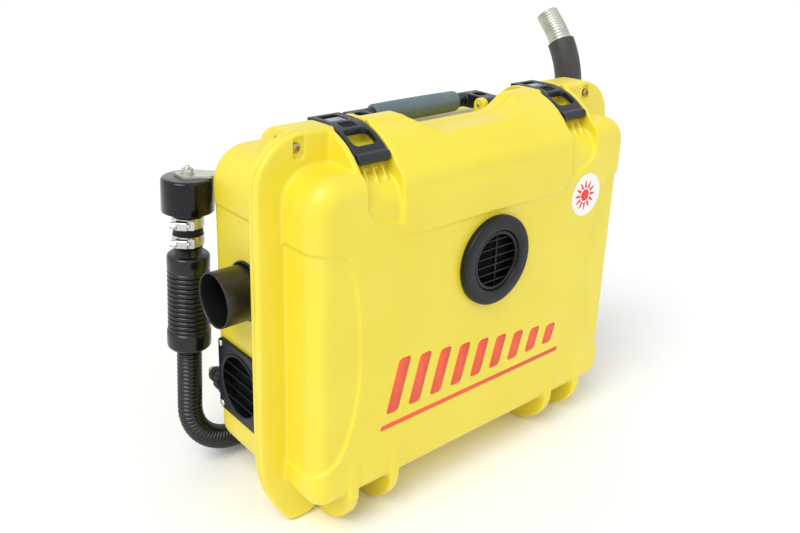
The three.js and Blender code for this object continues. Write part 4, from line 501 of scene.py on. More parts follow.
# ---- Case ----
def tub(half, low, high, inset, corner, edge, face):
    """The rounded box of the lid or the base, its lower corners tighter; edge rounds its outer face."""
    shape = block(-half, half, low, high, BODY_BOTTOM + inset, BODY_TOP - inset)
    round_off(shape, corner, 10, along="y", z=BODY_TOP - inset)
    round_off(shape, corner - 10, 8, along="y", z=BODY_BOTTOM + inset)
    return round_off(shape, edge, 6, y=face)


def rim(low, high, face, edge, toe):
    """The flange round the parting plane, its lower corners drawn in to low toes."""
    half = [(0, RIM_BOTTOM), (200, RIM_BOTTOM), (210, toe + 0.4), (218, toe), (226, toe + 0.3),
            (234, toe + 1.4), (240, max(7.6, toe + 3)), (250, 22), (258, 36.5), (263.5, 49), (268, 63), (271.4, 80),
            (RIM_HALF, 104), *arc((RIM_HALF - 54, RIM_TOP - 54), 54, 0, 90, 12)]
    mirrored = [(-x, z) for x, z in reversed(half[1:])]
    return round_off(prism("y", half + mirrored, low, high), edge, 3, y=face)


def crown(half, front, radius, bottom, top=RIM_TOP):
    """The quarter-round shoulder of the lid."""
    shape = block(-half, half, front, 25, bottom, top)
    return round_off(shape, radius, 18, along="x", y=front, z=top)


def hand_cut():
    """The trough for the hand across the top of both halves."""
    outline = [(-58, TROUGH_FLOOR), (58, TROUGH_FLOOR), (90, 447), (90, 470), (-90, 470), (-90, 447)]
    return round_off(prism("y", outline, -70, 38), 14, 7, along="y", z=TROUGH_FLOOR)


def foot_rib(x, way, reach, top=RIB_TOP):
    shape = block(x - 6, x + 6, min(0, way * reach), max(0, way * reach), 0, top)
    return round_off(shape, 54, 10, along="x", y=way * reach, z=0)


def side_panel(side):
    """Outline of the lowered column on one side of the lid, in x and z."""
    points = [(330, 338), (232, 338), (216, 335), (205, 328), (198, 317), (193, 302), (188, 270), (185, 235),
              (184.5, 213), (186, 185), (190, 155), (196, 135), (204.5, 114), (214, 101), (226, 94.5), (236, 90),
              (243, 84), (330, 80)]
    return [(side * x, z) for x, z in points]


def seal_slab(half, low, high, corner, depth):
    shape = block(-half, half, -1, depth, low, high)
    return round_off(shape, corner, 10, along="y")


def lid_moulding():
    steps = [("+", tub(LID_HALF, -LID_DEPTH, 10, 0, 33, 20, -LID_DEPTH))]
    for _, side in SIDES:
        core = tub(LID_HALF - 3, -LID_DEPTH + 3, 10, 3, 30, 17, -LID_DEPTH + 3)
        steps.append(("-", carve(("+", prism("y", side_panel(side), -90, -8)), ("-", core))))
    steps.append(("+", crown(186, -LID_DEPTH, 80, 330)))
    panel = crown(133, -LID_DEPTH - 2, 82, 336)
    round_off(panel, 20, 8, along="y", z=336)
    behind, above = block(-400, 400, 0, 200, -20, 600), block(-400, 400, -90, 90, RIM_TOP, 600)
    steps += [("+", panel), ("-", behind), ("-", above)]
    steps.append(("+", rim(-RIM_THICKNESS, 0, -RIM_THICKNESS, 3.5, 1)))
    for _, side in SIDES:
        for spread in (-FOOT_SPREAD, FOOT_SPREAD):
            x = side * HINGE_X + spread
            steps += [("+", foot_rib(x, -1, LID_DEPTH + 1, 90)), ("+", rod("x", x - 6, x + 6, 0, 6, 6, 32))]
    crown_hollow = block(-179, 179, -49.5, 12, 330, 423)
    hollow = [("+", tub(LID_HALF - 7, -LID_DEPTH + 8, 12, 7, 27, 14, -LID_DEPTH + 8)),
              ("+", round_off(crown_hollow, 58, 12, along="x", y=-49.5, z=423))]
    for _, side in SIDES:
        outline = [(30, 425), *arc(SWEEP, 59, 90, 180, 12), (-42, 330), (-90, 330), (-90, 480), (30, 480)]
        hollow.append(("-", prism("x", outline, side * LATCH_X - 27, side * LATCH_X + 27)))
    steps += [("-", carve(*hollow)), ("-", hand_cut())]
    steps.append(("-", rod("y", -LID_DEPTH - 5, 0, VENT_X, VENT_Z, 43.3, 96)))
    for _, side in SIDES:
        middle = side * LATCH_X
        floor = [*arc(SWEEP, CHANNEL_RADIUS, 90, 107, 5), *arc(SWEEP, 62.5, 109, 129, 8), (-33.5, 405),
                 *arc((-24.5, 366), 36, 102, 180, 12)]
        outline = [(25, SWEEP[1] + CHANNEL_RADIUS), *floor, (-60.5, 330), (-90, 330), (-90, 480), (25, 480)]
        end = [(134.5, 353), (139, 351.5), (160, 357), (173, 364), (179.5, 373), (179.5, 470), (134.5, 470)]
        reach = prism("y", [(side * x, z) for x, z in end], -120, 40)
        channel = carve(("+", prism("x", outline, middle - 23, middle + 23)), ("&", reach))
        steps.append(("-", channel))
        for x in (middle - 10, middle + 2, middle + 14):
            steps.append(("+", prism("x", [(-48, 396), (-28, 396), (-28, 414), (-34, 414)], x - 1.3, x + 1.3)))
        steps.append(("-", side_block(side, HINGE_X - 20, HINGE_X + 20, -48, 1, -1, 14)))
        x = side * (PADLOCK_X - 2.5)
        pocket = block(x - 6.5, x + 6.5, -20, -4.4, 420, 441.5)
        steps.append(("-", round_off(pocket, 3.5, 4, along="y")))
        steps.append(("-", rod("y", -20, 1, side * PADLOCK_X, PADLOCK_Z, 3.3, 24)))
    return carve(*steps, skin=SKIN, smooth=4, keep=0.22)


def base_moulding():
    steps = [("+", tub(BASE_HALF, PARTING, BASE_DEPTH, 0, 40, 13, BASE_DEPTH))]
    brow = tub(BASE_HALF + 1.6, PARTING, BASE_DEPTH, 0, 41, 13, BASE_DEPTH)
    steps.append(("+", carve(("+", brow), ("&", block(-300, 300, -10, 130, 348, 500)))))
    for _, side in SIDES:
        shoulder = side_block(side, 129, 227, PARTING, 60, 374, RIM_TOP)
        steps.append(("+", round_off(shoulder, 36, 10, along="x", y=60, z=RIM_TOP)))
        ear = side_block(side, 71.5, 80.5, 25, 43, 400, 436)
        steps.append(("+", round_off(ear, 8.9, 8, along="x", z=436)))
        steps.append(("+", side_block(side, 70.5, 81.5, 22, 46, 400, 414)))
    steps.append(("+", block(-130, 130, PARTING, 16, 390, RIM_TOP)))
    steps.append(("+", rim(PARTING, RIM_THICKNESS, RIM_THICKNESS, 3.0, 6.9)))
    for _, side in SIDES:
        for spread in (-FOOT_SPREAD, FOOT_SPREAD):
            steps.append(("+", foot_rib(side * HINGE_X + spread, 1, BASE_DEPTH - 16)))
        steps.append(("+", rod("x", side * HINGE_X - 19, side * HINGE_X + 19, 0, 6, 6, 32)))
        steps.append(("+", side_block(side, HINGE_X - 19, HINGE_X + 19, PARTING, 8, 0, 16)))
    steps += [("-", seal_slab(263.2, 34.8, 420.2, 51, 3.8)), ("+", seal_slab(257.8, 40.2, 414.8, 46, 3.8))]
    steps.append(("-", block(-400, 400, -60, PARTING, 20, 600)))
    steps += [("-", tub(BASE_HALF - 4, -13, BASE_DEPTH - 4, 4, 36, 9, BASE_DEPTH - 4)), ("-", hand_cut())]
    for _, side in SIDES:
        middle = side * LATCH_X
        outline = [(-2, 434), *arc((24, 410), 24, 90, 0, 12), (66, 410), (66, 452), (-2, 452)]
        steps.append(("-", prism("x", outline, middle - 22, middle + 22)))
        for spread in (-FOOT_SPREAD, FOOT_SPREAD):
            x = side * HINGE_X + spread
            steps.append(("-", block(x - 7.2, x + 7.2, -8, 12, -1, 15)))
        steps.append(("-", rod("y", -1, 30, side * PADLOCK_X, PADLOCK_Z, 4.3, 24)))
    steps.append(("-", rod("x", -255, -230, HEATER_Y, HEATER_Z, 30.4, 96)))
    steps.append(("-", rod("x", -255, -230, INLET_Y, INLET_Z, 36, 96)))
    steps.append(("-", rod("x", 230, 255, EXHAUST_Y, EXHAUST_Z, 15, 48)))
    steps.append(("-", rod("y", 100, 125, near("intake_elbow", 1).x - 22, PORT_Z, 16, 48)))
    steps.append(("-", rod("y", 100, 125, SOCKET_X, SOCKET_Z, 7, 32)))
    return carve(*steps, skin=SKIN, smooth=5, keep=0.22)


lid = piece("lid_moulding", lid_moulding(), "case_yellow", "lid", "lid_shell")
piece("base_moulding", base_moulding(), "case_yellow", "base", "base_shell")


# ---- Prints ----
def lid_surface():
    """The lid's front in case millimetres, to lay thin prints on."""
    shape = bmesh.new()
    shape.from_mesh(lid.data)
    shape.transform(TO_PART.inverted())
    return BVHTree.FromBMesh(shape)


SURFACE = lid_surface()


def lay(shape, lift):
    """Presses a flat sheet onto the lid's front."""
    for vert in shape.verts:
        hit = SURFACE.ray_cast(Vector((vert.co.x, -100, vert.co.z)), Vector((0, 1, 0)))[0]
        vert.co.y = hit.y - lift
    return shape


def disc(x, z, radius, steps=72):
    shape = bmesh.new()
    verts = [shape.verts.new((radius * i / 24, 0, 0)) for i in range(25)]
    edges = [shape.edges.new(pair) for pair in zip(verts, verts[1:])]
    bmesh.ops.spin(shape, geom=verts + edges, cent=(0, 0, 0), axis=(0, 1, 0), dvec=(0, 0, 0),
                   angle=2 * math.pi, steps=steps, use_merge=True, use_duplicate=False)
    bmesh.ops.remove_doubles(shape, verts=shape.verts, dist=0.01)
    shape.transform(Matrix.Translation((x, 0, z)))
    return shape


def stripe(x, z, width, height, lean=0.28):
    """A slanted bar with rounded corners."""
    low, high = z - height / 2, z + height / 2
    outline = [(x - width / 2 - lean * height / 2, low), (x + width / 2 - lean * height / 2, low),
               (x + width / 2 + lean * height / 2, high), (x - width / 2 + lean * height / 2, high)]
    shape = prism("y", outline, -LID_DEPTH - 0.2, -LID_DEPTH + 0.3)
    return round_off(shape, min(width, height) * 0.25, 4, along="y")


def heat_print():
    """A row of slanted bars that shrink to the right over a thin line."""
    bars = []
    for i in range(9):
        height = 62 - i * 4.6
        bars.append(stripe(-132 + i * 31.5, 134 + height / 2, 17, height))
    bars.append(stripe(-8, 119, 296, 5.5))
    return gather(*bars)


def sun_rays(x, z):
    low, high = -LID_DEPTH - 0.45, -LID_DEPTH + 0.1
    rays = []
    for i in range(12):
        ray = prism("y", [(9.6, -2.0), (18, -0.8), (18, 0.8), (9.6, 2.0)], low, high)
        ray.transform(Matrix.Translation((x, 0, z)) @ Matrix.Rotation(i * math.pi / 6, 4, "Y"))
        rays.append(ray)
    rays.append(rod("y", low, high, x, z, 7.4, 48))
    return gather(*rays)


piece("heat_print", heat_print(), "print_red", "lid", slot="case_yellow")
piece("badge_disc", lay(disc(167, 321, 27), 0.25), "badge_white", "lid", slot="case_yellow")
piece("badge_sun", sun_rays(165, 321), "badge_red", "lid", slot="case_yellow")


# ---- Latches ----
def latch(side):
    middle = side * LATCH_X
    outer, inner = 79.5, 72.5
    lever = prism("x", [(42, SWEEP[1] + inner), (42, SWEEP[1] + outer), *arc(SWEEP, outer, 90, 137, 14),
                        *arc(SWEEP, inner, 137, 90, 14)], middle - 20.5, middle + 20.5)
    steps = [("+", lever), ("+", rod("x", middle - 20.5, middle + 20.5, -38.2, 417.5, 6.1, 40))]
    window = block(middle - 15.5, middle + 15.5, -30.5, -9, 366, 460)
    steps.append(("-", round_off(window, 5.5, 6, along="z")))
    recess = block(middle - 9, middle + 9, -5, 7, 441, 460)
    steps.append(("-", round_off(recess, 2.5, 3, along="z")))
    steps.append(("-", block(middle - 11.3, middle + 11.3, 13.6, 36.4, 440.2, 460)))
    for edge in (-18, 18):
        steps.append(("-", block(middle + edge - 0.9, middle + edge + 0.9, -8, 38, 444.3, 460)))
    steps.append(("-", rod("x", middle - 23, middle + 23, -38.58, 417.83, 2.3, 24)))
    return carve(*steps, skin=0.75, smooth=3, keep=0.5)


def slide(side):
    middle = side * LATCH_X
    shape = block(middle - 11, middle + 11, 14, 29, 440.5, 444.5)
    parts = [round_off(shape, 1.2, 3, z=444.5)]
    for i in range(4):
        bar = block(middle - 8.5, middle + 8.5, 17 + i * 2.6, 18.3 + i * 2.6, 444, 445.2)
        parts.append(round_off(bar, 0.4, 2, z=445.2))
    return gather(*parts)


for label, side in SIDES:
    piece("latch_lever_" + label, latch(side), "slate_plastic", "latch_" + label, "latch_" + label)
    piece("latch_button_" + label, slide(side), "slide_grey", "slide_" + label, "latch_slide_" + label,
          slot="grey_plastic")
    screw = cross_screw(5, 2.6, 3, 14)
    screw.transform(Matrix.Translation((side * PADLOCK_X, -5.8, PADLOCK_Z)) @ Matrix.Rotation(math.pi / 2, 4, "X")
                    @ Matrix.Rotation(0.5, 4, "Z"))
    piece("padlock_bolt_" + label, screw, "brass", "lid", "padlock_screw_" + label, bevel=0.2)


# ---- Carrying handle ----
def handle_bow():
    steps = [("+", rod("x", -105, 105, GRIP_Y, HANDLE_Z, 9, 48))]
    for _, side in SIDES:
        outline = [*arc((PIVOT_Y, HANDLE_Z), 8, 270, 90, 14), *arc((GRIP_Y, HANDLE_Z), 9, 90, -90, 14)]
        near_x, far_x = side * 80.8, side * 106
        arm = prism("x", outline, min(near_x, far_x), max(near_x, far_x))
        steps.append(("+", arm))
    for _, side in SIDES:
        slot = side_block(side, 86.5, 101, 46, 62, 400, 450)
        steps.append(("-", round_off(slot, 5, 5, along="z")))
        steps.append(("-", rod("x", side * 84 - 9, side * 84 + 9, PIVOT_Y, HANDLE_Z, 2.8, 24)))
    return carve(*steps, skin=0.9, smooth=6, keep=0.5)


def handle_sleeve():
    """The soft grip: faint rings and rounded ends on a slightly bellied roll."""
    outside = []
    for i in range(133):
        x = -66 + i
        belly = 13 - 0.5 * (x / 66) ** 2
        ring = 0.35 * (0.5 + 0.5 * math.cos(2 * math.pi * x / 6.6)) ** 6
        fall = 66 - abs(x)
        end = 3 - math.sqrt(max(9 - (3 - fall) ** 2, 0)) if fall < 3 else 0
        outside.append((belly - ring - end, x))
    return turned("x", loop(*outside, (9.3, 66), (9.3, -66)), GRIP_Y, HANDLE_Z, steps=72)


piece("handle_bow", handle_bow(), "handle_black", "handle", "handle_frame", slot="slate_plastic")
piece("handle_sleeve", handle_sleeve(), "grey_plastic", "handle", "handle_grip")


# ---- Lid vent ----
def vent_bezel():
    """The turning ring of the lid's vent, with fine flutes round its edge."""
    profile = [(40, -47), (43, -47), (43, -62.7), (45, -63.3), (52.6, -63.3), (53, -64), (53, -68.6),
               (52.6, -69.8), (51.8, -70.6), (50.4, -71), (38, -71), (36.6, -70.6), (35.9, -69.6), (35.9, -62),
               (31.9, -62), (31.9, -59), (40, -59)]
    shape = turned("y", loop(*profile), VENT_X, VENT_Z, steps=288)
    for vert in shape.verts:
        arm = Vector((vert.co.x - VENT_X, 0, vert.co.z - VENT_Z))
        if arm.length > 52.5 and vert.co.y < -63.5:
            angle = math.atan2(arm.z, arm.x)
            arm *= 1 - 0.008 * (0.5 + 0.5 * math.cos(72 * angle))
            vert.co.x, vert.co.z = VENT_X + arm.x, VENT_Z + arm.z
    return shape


def vent_louvres():
    """The disc in the ring: a flat rim round an opening with six slats and a middle bar."""
    profile = [(35, -68.4), (34.5, -69), (31.4, -69), (31, -68.4), (31, -62.4), (35, -62.4)]
    hoop = turned("y", loop(*profile), VENT_X, VENT_Z, steps=96)
    parts = [hoop]
    for i in range(6):
        z = -24.5 + i * 9.8
        half = math.sqrt(31.5 ** 2 - z ** 2)
        slat = round_off(block(-half, half, -2.4, 2.4, -0.9, 0.9), 0.6, 3, along="x")
        place = Matrix.Translation((VENT_X, -65.4, VENT_Z + z))
        slat.transform(place @ Matrix.Rotation(math.radians(-14), 4, "X"))
        parts.append(slat)
    bar = block(VENT_X - 1, VENT_X + 1, -67.4, -62.5, VENT_Z - 31.4, VENT_Z + 31.4)
    parts.append(round_off(bar, 0.5, 2, along="z"))
    return gather(*parts)


piece("vent_bezel", vent_bezel(), "black_plastic", "lid", "vent_ring")
piece("vent_louvres", vent_louvres(), "black_plastic", "lid_grille", "vent_grille")
cover = turned("y", loop((0, -57.6), (39, -57.6), (39, -56.4), (0, -56.4)), VENT_X, VENT_Z, steps=64)
piece("vent_backing", cover, "filter_dark", "lid", slot="black_plastic")


# ---- Hot-air outlet and air inlet ----
def duct():
    profile = [(28.5, -196), (30, -196), (30, -285), (30.15, -289.4), (30, -290.6), (29.6, -291), (29, -290.7),
               (28.6, -289.5), (28.5, -286)]
    return turned("x", loop(*profile), HEATER_Y, HEATER_Z, steps=128)


def inlet_panel():
    plate = block(-254.3, -250.3, 19, 109, 99, 189)
    round_off(plate, 7, 6, along="x")
    hole = rod("x", -260, -245, INLET_Y, INLET_Z, 36, 128)
    profile = [(34.8, -245.8), (35.7, -245.8), (35.7, -250.4), (38.6, -250.4), (38.6, -255.2), (37.4, -255.8),
               (34.8, -255)]
    parts = [carve(("+", plate), ("-", hole)), turned("x", loop(*profile), INLET_Y, INLET_Z, 128)]
    for i in range(1, 5):
        z = -36 + i * 72 / 5
        half = math.sqrt(35.4 ** 2 - z ** 2)
        slat = round_off(block(-3, 3, -half, half, -0.7, 0.7), 0.4, 2, along="y")
        place = Matrix.Translation((-252, INLET_Y, INLET_Z + z))
        slat.transform(place @ Matrix.Rotation(math.radians(16), 4, "Y"))
        parts.append(slat)
    return gather(*parts)


piece("outlet_pipe", duct(), "duct_black", "base", "outlet_duct", slot="black_plastic")
collar = [(30.4, -250.1), (33, -250.1), (33, -252), (32.4, -252.6), (30.4, -252.6)]
piece("outlet_ring", turned("x", loop(*collar), HEATER_Y, HEATER_Z), "black_plastic", "base", "outlet_collar")
piece("inlet_panel", inlet_panel(), "black_plastic", "base", "inlet_grille", bevel=0.5)
cup = [(37.5, -245.6), (38.5, -245.6), (38.5, -237), (0, -237), (0, -238), (37.5, -238)]
piece("inlet_filter", turned("x", loop(*cup), INLET_Y, INLET_Z), "filter_dark", "base", slot="black_plastic")
for number, (y, z) in enumerate(((25, 105), (103, 105), (25, 183), (103, 183)), 1):
    screw = cross_screw(4, 2, 2, 9)
    screw.transform(Matrix.Translation((-254.6, y, z)) @ Matrix.Rotation(-math.pi / 2, 4, "Y")
                    @ Matrix.Rotation(0.4 * number, 4, "Z"))
    piece(f"inlet_bolt_{number}", screw, "steel", "base", f"grille_screw_{number}", bevel=0.15)


# ---- Combustion-air stack ----
def can():
    profile = [(11, 311), (14, 311), (14, 331), (15, 332), (28.6, 332), (29.6, 332.4), (30, 333.6),
               (30, 366.4), (29.6, 368.4), (28.5, 370), (26.8, 370.8), (25, 371), (0, 371), (0, 363),
               (28, 363), (28, 334), (11, 334)]
    return turned("z", loop(*profile), STACK_X, STACK_Y, steps=128)


def strap():
    half, foot = 12, STACK_X + 42
    wall = BASE_DEPTH + 0.3
    outline = [(STACK_X - half, STACK_Y - half), (foot - half, wall), (foot + half, wall),
               (STACK_X + half, STACK_Y + half), (STACK_X - half, STACK_Y + half)]
    top = round_off(prism("z", outline, 371.3, 374.3), 3, 4, along="z")
    leg = block(foot - half, foot + half, wall, wall + 3, 340.3, 374.3)
    return carve(("+", top), ("+", leg), ("-", rod("z", 360, 390, STACK_X, STACK_Y, 3.3, 32)),
                 ("-", rod("y", 110, 140, foot, 354, 2.3, 32)))


def stud():
    """The nut, washer and threaded end on top of the can."""
    thread = [(0, 365)]
    for i in range(14):
        thread += [(3, 365.2 + i * 1.25), (2.55, 365.8 + i * 1.25)]
    thread += [(2.3, 383.2), (0, 383.4)]
    washer = turned("z", loop((3.3, 374.4), (8.2, 374.4), (8.2, 375.4), (3.3, 375.4)), STACK_X, STACK_Y, 48)
    nut = carve(("+", rod("z", 375.5, 380, STACK_X, STACK_Y, 6.6, 6)),
                ("-", rod("z", 370, 390, STACK_X, STACK_Y, 3.1, 32)))
    return gather(turned("z", loop(*thread), STACK_X, STACK_Y, 32), washer, nut)


def clamp(z):
    """A worm-drive clamp: slotted band, housing, screw and band tail."""
    band = turned("z", loop((17.0, z - 5.6), (18.1, z - 6), (18.1, z + 6), (17.0, z + 5.6)), 0, 0, steps=96)
    slots = []
    for i in range(40):
        slot = round_off(block(-0.55, 0.55, -3.4, 3.4, 0, 3), 0.3, 2, along="z")
        slot.transform(Matrix.Rotation(i * math.pi / 20, 4, "Z") @ Matrix.Translation((17.85, 0, z))
                       @ Matrix.Rotation(math.pi / 2, 4, "Y") @ Matrix.Rotation(math.pi / 2 - 0.25, 4, "Z"))
        slots.append(("-", slot))
    worm_y = -21.6
    housing = round_off(block(-8.5, 4.5, -25, -17.6, z - 5, z + 5), 2.2, 4, along="x", y=-25)
    shell = carve(("+", housing), ("-", rod("x", -12, -6, worm_y, z, 3.9, 32)))
    slit = block(-17, -13.6, -24, -19, z - 0.5, z + 0.5)
    head = carve(("+", rod("x", -15, -8, worm_y, z, 3.7, 6)), ("-", slit))
    worm = rod("x", -9, 6.4, worm_y, z, 2.6, 24)
    tail = round_off(block(4, 12, -19.6, -18.8, z - 5.4, z + 5.4), 2, 3, along="y", x=12)
    shape = gather(carve(("+", band), *slots), shell, head, worm, tail)
    shape.transform(Matrix.Translation((STACK_X, STACK_Y, 0)) @ Matrix.Rotation(math.radians(-42), 4, "Z"))
    return shape


def silencer():
    profile = [(11, 307), (11, 176), (15.5, 176), (15.5, 166), (19, 166), (23, 166.6), (25, 168.6),
               (25.4, 171), (25.4, 186.6), (24.8, 188)]
    ribs, low, high = 13, 188, 263
    for i in range(ribs * 12):
        radius = 21 + 3.4 * math.sin(math.pi * (i % 12) / 12) ** 0.45
        profile.append((radius, low + 0.4 + (high - low - 0.8) * i / (ribs * 12)))
    profile += [(24.1, 263.4), (24.4, 264.4), (24.4, 277.6), (23.8, 279.6), (22, 281), (16, 281), (16, 289.7),
                (14, 289.7), (14, 307)]
    return turned("z", loop(*profile), STACK_X, STACK_Y, steps=96)


lean = math.radians(STACK_TILT)
hose_top = LEAN @ Vector((STACK_X, STACK_Y, 175.7))
hose_drop = (hose_top.z - HOSE_Z - HOSE_BEND * (1 + math.sin(lean))) / math.cos(lean)
HOSE = Route(
    hose_top, (-math.sin(lean), 0, -math.cos(lean)), (math.cos(lean), 0, -math.sin(lean)),
    hose_drop, HOSE_BEND, math.pi / 2 + lean, 32,
)
ELBOW_X = HOSE.at(HOSE.length)[0].x + 20.5


def elbow():
    x = ELBOW_X
    mouth = x - 30.5
    corners = []
    for radius, z in ((18.5, HOSE_Z), (15.5, PORT_Z)):
        corners.append(bmesh.new())
        place = Matrix.Translation((x, STACK_Y, z))
        bmesh.ops.create_uvsphere(corners[-1], u_segments=40, v_segments=24, radius=radius, matrix=place)
    return carve(
        ("+", rod("x", mouth, x, STACK_Y, HOSE_Z, 18.5)), ("+", corners[0]),
        ("+", rod("z", HOSE_Z, PORT_Z, x, STACK_Y, 15.5)),
        ("+", rod("x", mouth, mouth + 6, STACK_Y, HOSE_Z, 19.4)), ("+", corners[1]),
        ("+", rod("y", 108.3, STACK_Y, x, PORT_Z, 15.4)), ("+", rod("y", 120.5, 124, x, PORT_Z, 22)),
        ("-", rod("x", mouth - 1, x - 20, STACK_Y, HOSE_Z, 15.6)),
        ("-", rod("x", x - 21, x, STACK_Y, HOSE_Z, 11)),
        ("-", rod("z", 20, PORT_Z, x, STACK_Y, 11)), ("-", rod("y", 100, STACK_Y, x, PORT_Z, 11)),
        skin=0.9, smooth=4, keep=0.5,
    )


piece("intake_housing", can(), "gloss_black", "base", "intake_can", lean=True)
piece("intake_strap", strap(), "steel", "base", "intake_bracket", bevel=0.6, lean=True)
piece("cap_stud", stud(), "steel", "base", "cap_bolt", bevel=0.15, lean=True)
sleeve = [(14.3, 290.2), (16.5, 290.2), (16.7, 290.8), (16.7, 328.4), (16.4, 329), (14.3, 329)]
piece("neck_sleeve", turned("z", loop(*sleeve), STACK_X, STACK_Y), "rubber", "base", "rubber_sleeve",
      lean=True)
piece("clamp_upper", clamp(320), "steel", "base", "hose_clamp_upper", bevel=0.15, lean=True)
piece("clamp_lower", clamp(299), "steel", "base", "hose_clamp_lower", bevel=0.15, lean=True)
piece("silencer_body", silencer(), "hose_black", "base", "intake_silencer", lean=True)
piece("intake_corrugated", ribbed(HOSE, 5.2, 14.8, 11.9, 11, sharp=0.8), "hose_black", "base", "intake_hose")
piece("intake_corner", elbow(), "rubber", "base", "intake_elbow")


# ---- Fuel connector ----
def connector():
    profile = [(3, 110.4), (6.7, 110.4), (6.7, 120.3), (13.6, 120.3), (14, 120.8), (14, 127.6), (13.4, 128.3),
               (11.6, 128.5), (11.6, 130.4), (13, 130.8), (13, 140.6), (12.3, 141.4), (9.5, 142.2), (9.5, 146),
               (8.7, 146.6), (8.7, 149), (9.5, 149.6), (9.5, 157), (8.6, 158.2), (3, 158.2)]
    shape = turned("y", loop(*profile), SOCKET_X, SOCKET_Z, steps=96)
    for vert in shape.verts:
        arm = Vector((vert.co.x - SOCKET_X, 0, vert.co.z - SOCKET_Z))
        if arm.length > 12.5 and 130 < vert.co.y < 141:
            arm *= 1 - 0.05 * (0.5 + 0.5 * math.cos(12 * math.atan2(arm.z, arm.x))) ** 3
            vert.co.x, vert.co.z = arm.x + SOCKET_X, arm.z + SOCKET_Z
    return shape


def barb():
    start = 158.6
    tail = [(1.5, start - 8), (2.7, start - 8), (2.7, start), (4.4, start), (4.4, start + 5.4)]
    for i in range(2):
        tail += [(3.2, start + 5.6 + i * 2.2), (4.1, start + 6.4 + i * 2.2)]
    tail += [(3, start + 10), (1.5, start + 10)]
    hexagon = carve(("+", rod("y", start, start + 5, SOCKET_X, SOCKET_Z, 7, 6)),
                    ("-", rod("y", start - 1, start + 6, SOCKET_X, SOCKET_Z, 4.2, 32)))
    return gather(turned("y", loop(*tail), SOCKET_X, SOCKET_Z, 48), hexagon)


piece("fuel_socket", connector(), "black_plastic", "base", "fuel_connector", bevel=0.25)
piece("fuel_tip", barb(), "brass", "base", "fuel_barb", bevel=0.2)

# ---- Exhaust ----
RISER = Route((220, EXHAUST_Y, EXHAUST_Z), (1, 0, 0), (0, 0, 1), 46, 24, math.pi / 2, 194)
FLEX = Route((EXHAUST_X, EXHAUST_Y, 373), (0, 0, 1), (0, 1, 0), 30, 148, math.radians(40), 22)
SLEEVE = Route((EXHAUST_X, EXHAUST_Y, 250), (0, 0, 1), (0, 1, 0), 153, 148, math.radians(31), 0)


def heat_sleeve():
    """A thin sleeve over the pipe, creased lengthwise and gathered at its lower end."""
    rings, steps = 150, 96
    outside = [(18.2, SLEEVE.length * i / rings) for i in range(rings + 1)]
    inside = [(16.6, height) for _, height in reversed(outside)]
    shape = turned("z", loop(*outside, *inside), steps=steps)
    for vert in shape.verts:
        angle, height = math.atan2(vert.co.y, vert.co.x), vert.co.z
        wave = noise.noise(Vector((math.cos(angle) * 1.3, math.sin(angle) * 1.3, height / 38)))
        crease = noise.noise(Vector((math.cos(angle) * 3.2, math.sin(angle) * 3.2, height / 70 + 7)))
        gathered = max(0, 1 - height / 26)
        push = 0.55 * wave + 0.45 * crease - 0.5 * abs(crease) + 0.5 * gathered * math.cos(9 * angle)
        radius = math.hypot(vert.co.x, vert.co.y)
        scale = (radius + max(min(push, 0.75), -0.75 if radius > 17.4 else 0.0)) / radius
        vert.co.x *= scale
        vert.co.y *= scale
    return follow(shape, SLEEVE)


def wall_flange():
    profile = [(12.4, 250.3), (26, 250.3), (26, 252.2), (25.2, 253), (16, 253), (14.6, 254.6), (12.4, 254.6)]
    plate = turned("x", loop(*profile), EXHAUST_Y, EXHAUST_Z, 96)
    profile = [(12.7, 238), (14.5, 238), (14.5, 250.4), (12.7, 250.4)]
    spigot = turned("x", loop(*profile), EXHAUST_Y, EXHAUST_Z, 48)
    bolts = []
    for i in range(3):
        angle = math.radians(90 + 120 * i)
        y, z = EXHAUST_Y + 20.5 * math.cos(angle), EXHAUST_Z + 20.5 * math.sin(angle)
        bolts.append(rod("x", 253, 255, y, z, 3, 6))
    return gather(plate, spigot, *bolts)


def pipe_clip():
    hoop = turned("z", loop((19.7, 323.4), (21.6, 323), (21.6, 337), (19.7, 336.6)), EXHAUST_X, EXHAUST_Y, 96)
    foot = round_off(block(250.3, 252.6, 38, 98, 323, 337), 4, 4, along="x")
    web = block(252, 270.6, 58, 60.4, 323, 337)
    other = block(252, 270.6, 75.6, 78, 323, 337)
    bolts = [rod("x", 252.6, 255, y, 330, 3.4, 6) for y in (45, 91)]
    return gather(hoop, foot, web, other, *bolts)


piece("pipe_riser", plain_tube(RISER, 12, 10.8), "pipe_silver", "base", "exhaust_riser", slot="steel")
piece("pipe_flexible", ribbed(FLEX, 4.1, 15.4, 14.3, 13.4, sharp=0.8, uneven=0.35), "pipe_silver", "base",
      "exhaust_flex", slot="steel")
piece("pipe_sleeve", heat_sleeve(), "heat_sleeve", "base", "exhaust_sleeve", slot="rubber")
piece("pipe_flange", wall_flange(), "steel", "base", "exhaust_flange", bevel=0.3)
piece("pipe_clip", pipe_clip(), "steel", "base", "exhaust_clip", bevel=0.3)

# ---- Parts that keep their CAD shape ----
SLOTS = {row["node"]: row["material_slot"] for row in frame["record"]["subparts"]}
for name, node in frame["nodes"].items():
    if node.hide_render:
        continue
    for place in node.material_slots:
        place.material = FINISH[SLOTS[name]]
    weld = node.modifiers.new("weld", "WELD")
    weld.merge_threshold = 1e-5
    edges = node.modifiers.new("edges", "BEVEL")
    edges.width, edges.segments, edges.limit_method = 0.5 * MM, 2, "ANGLE"
    edges.angle_limit = math.radians(35)
    edges.harden_normals = True

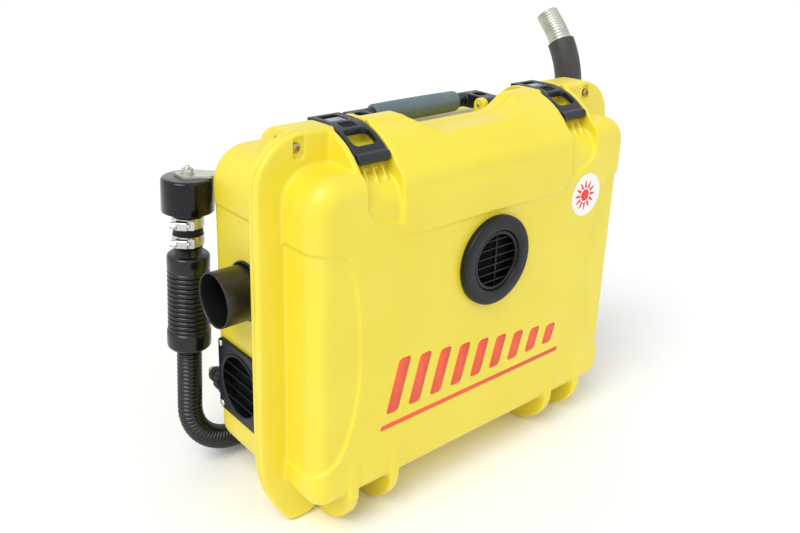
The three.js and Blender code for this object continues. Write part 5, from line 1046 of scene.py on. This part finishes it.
# ---- Stage, light and camera ----
floor_shape = bmesh.new()
bmesh.ops.create_grid(floor_shape, x_segments=1, y_segments=1, size=40)
floor_mesh = bpy.data.meshes.new("floor")
floor_shape.to_mesh(floor_mesh)
floor = bpy.data.objects.new("floor", floor_mesh)
bpy.context.scene.collection.objects.link(floor)
paper = bpy.data.materials.new("paper")
paper.use_nodes = True
paper.node_tree.nodes["Principled BSDF"].inputs["Base Color"].default_value = (1, 1, 1, 1)
paper.node_tree.nodes["Principled BSDF"].inputs["Roughness"].default_value = 0.9
floor_mesh.materials.append(paper)


def lamp(name, way, strength, spread):
    """A broad soft light that shines from a direction."""
    light = bpy.data.lights.new(name, "SUN")
    light.energy, light.angle = strength, math.radians(spread)
    made = bpy.data.objects.new(name, light)
    bpy.context.scene.collection.objects.link(made)
    made.rotation_euler = Vector(way).to_track_quat("Z", "Y").to_euler()


lamp("key", (-0.62, -0.2, 0.8), 1.9, 40)
lamp("front", (0.1, -0.8, 0.5), 0.35, 60)

world = bpy.data.worlds.new("studio")
bpy.context.scene.world = world
world.use_nodes = True
tree = world.node_tree
seen = tree.nodes["Background"]
seen.inputs["Color"].default_value = (1, 1, 1, 1)
seen.inputs["Strength"].default_value = 1.0
fill = tree.nodes.new("ShaderNodeBackground")
fill.inputs["Color"].default_value = (0.97, 0.985, 1, 1)
fill.inputs["Strength"].default_value = 0.56
path = tree.nodes.new("ShaderNodeLightPath")
either = sum_of(tree, "MAXIMUM", path.outputs["Is Camera Ray"], path.outputs["Is Glossy Ray"])
either = sum_of(tree, "MAXIMUM", either, path.outputs["Is Transmission Ray"])
mix = tree.nodes.new("ShaderNodeMixShader")
tree.links.new(either, mix.inputs[0])
tree.links.new(fill.outputs[0], mix.inputs[1])
tree.links.new(seen.outputs[0], mix.inputs[2])
tree.links.new(mix.outputs[0], tree.nodes["World Output"].inputs["Surface"])
bpy.context.scene.view_settings.view_transform = "Standard"

YAW, PITCH, ROLL = 0.658928, 0.321217, -0.0095486
onward = Vector((math.sin(YAW) * math.cos(PITCH), math.cos(YAW) * math.cos(PITCH), -math.sin(PITCH)))
level = Vector((math.cos(YAW), -math.sin(YAW), 0))
down = onward.cross(level)
right = math.cos(ROLL) * level + math.sin(ROLL) * down
up = math.sin(ROLL) * level - math.cos(ROLL) * down
lens = bpy.data.cameras.new("camera")
lens.sensor_width, lens.lens = 36, 37.486
lens.shift_x, lens.shift_y = 0.0812, -0.0965
camera = bpy.data.objects.new("camera", lens)
bpy.context.scene.collection.objects.link(camera)
turn = Matrix((right, up, -onward)).transposed().to_4x4()
camera.matrix_world = Matrix.Translation((-0.67487, -0.69218, 0.64642)) @ turn
bpy.context.scene.camera = camera
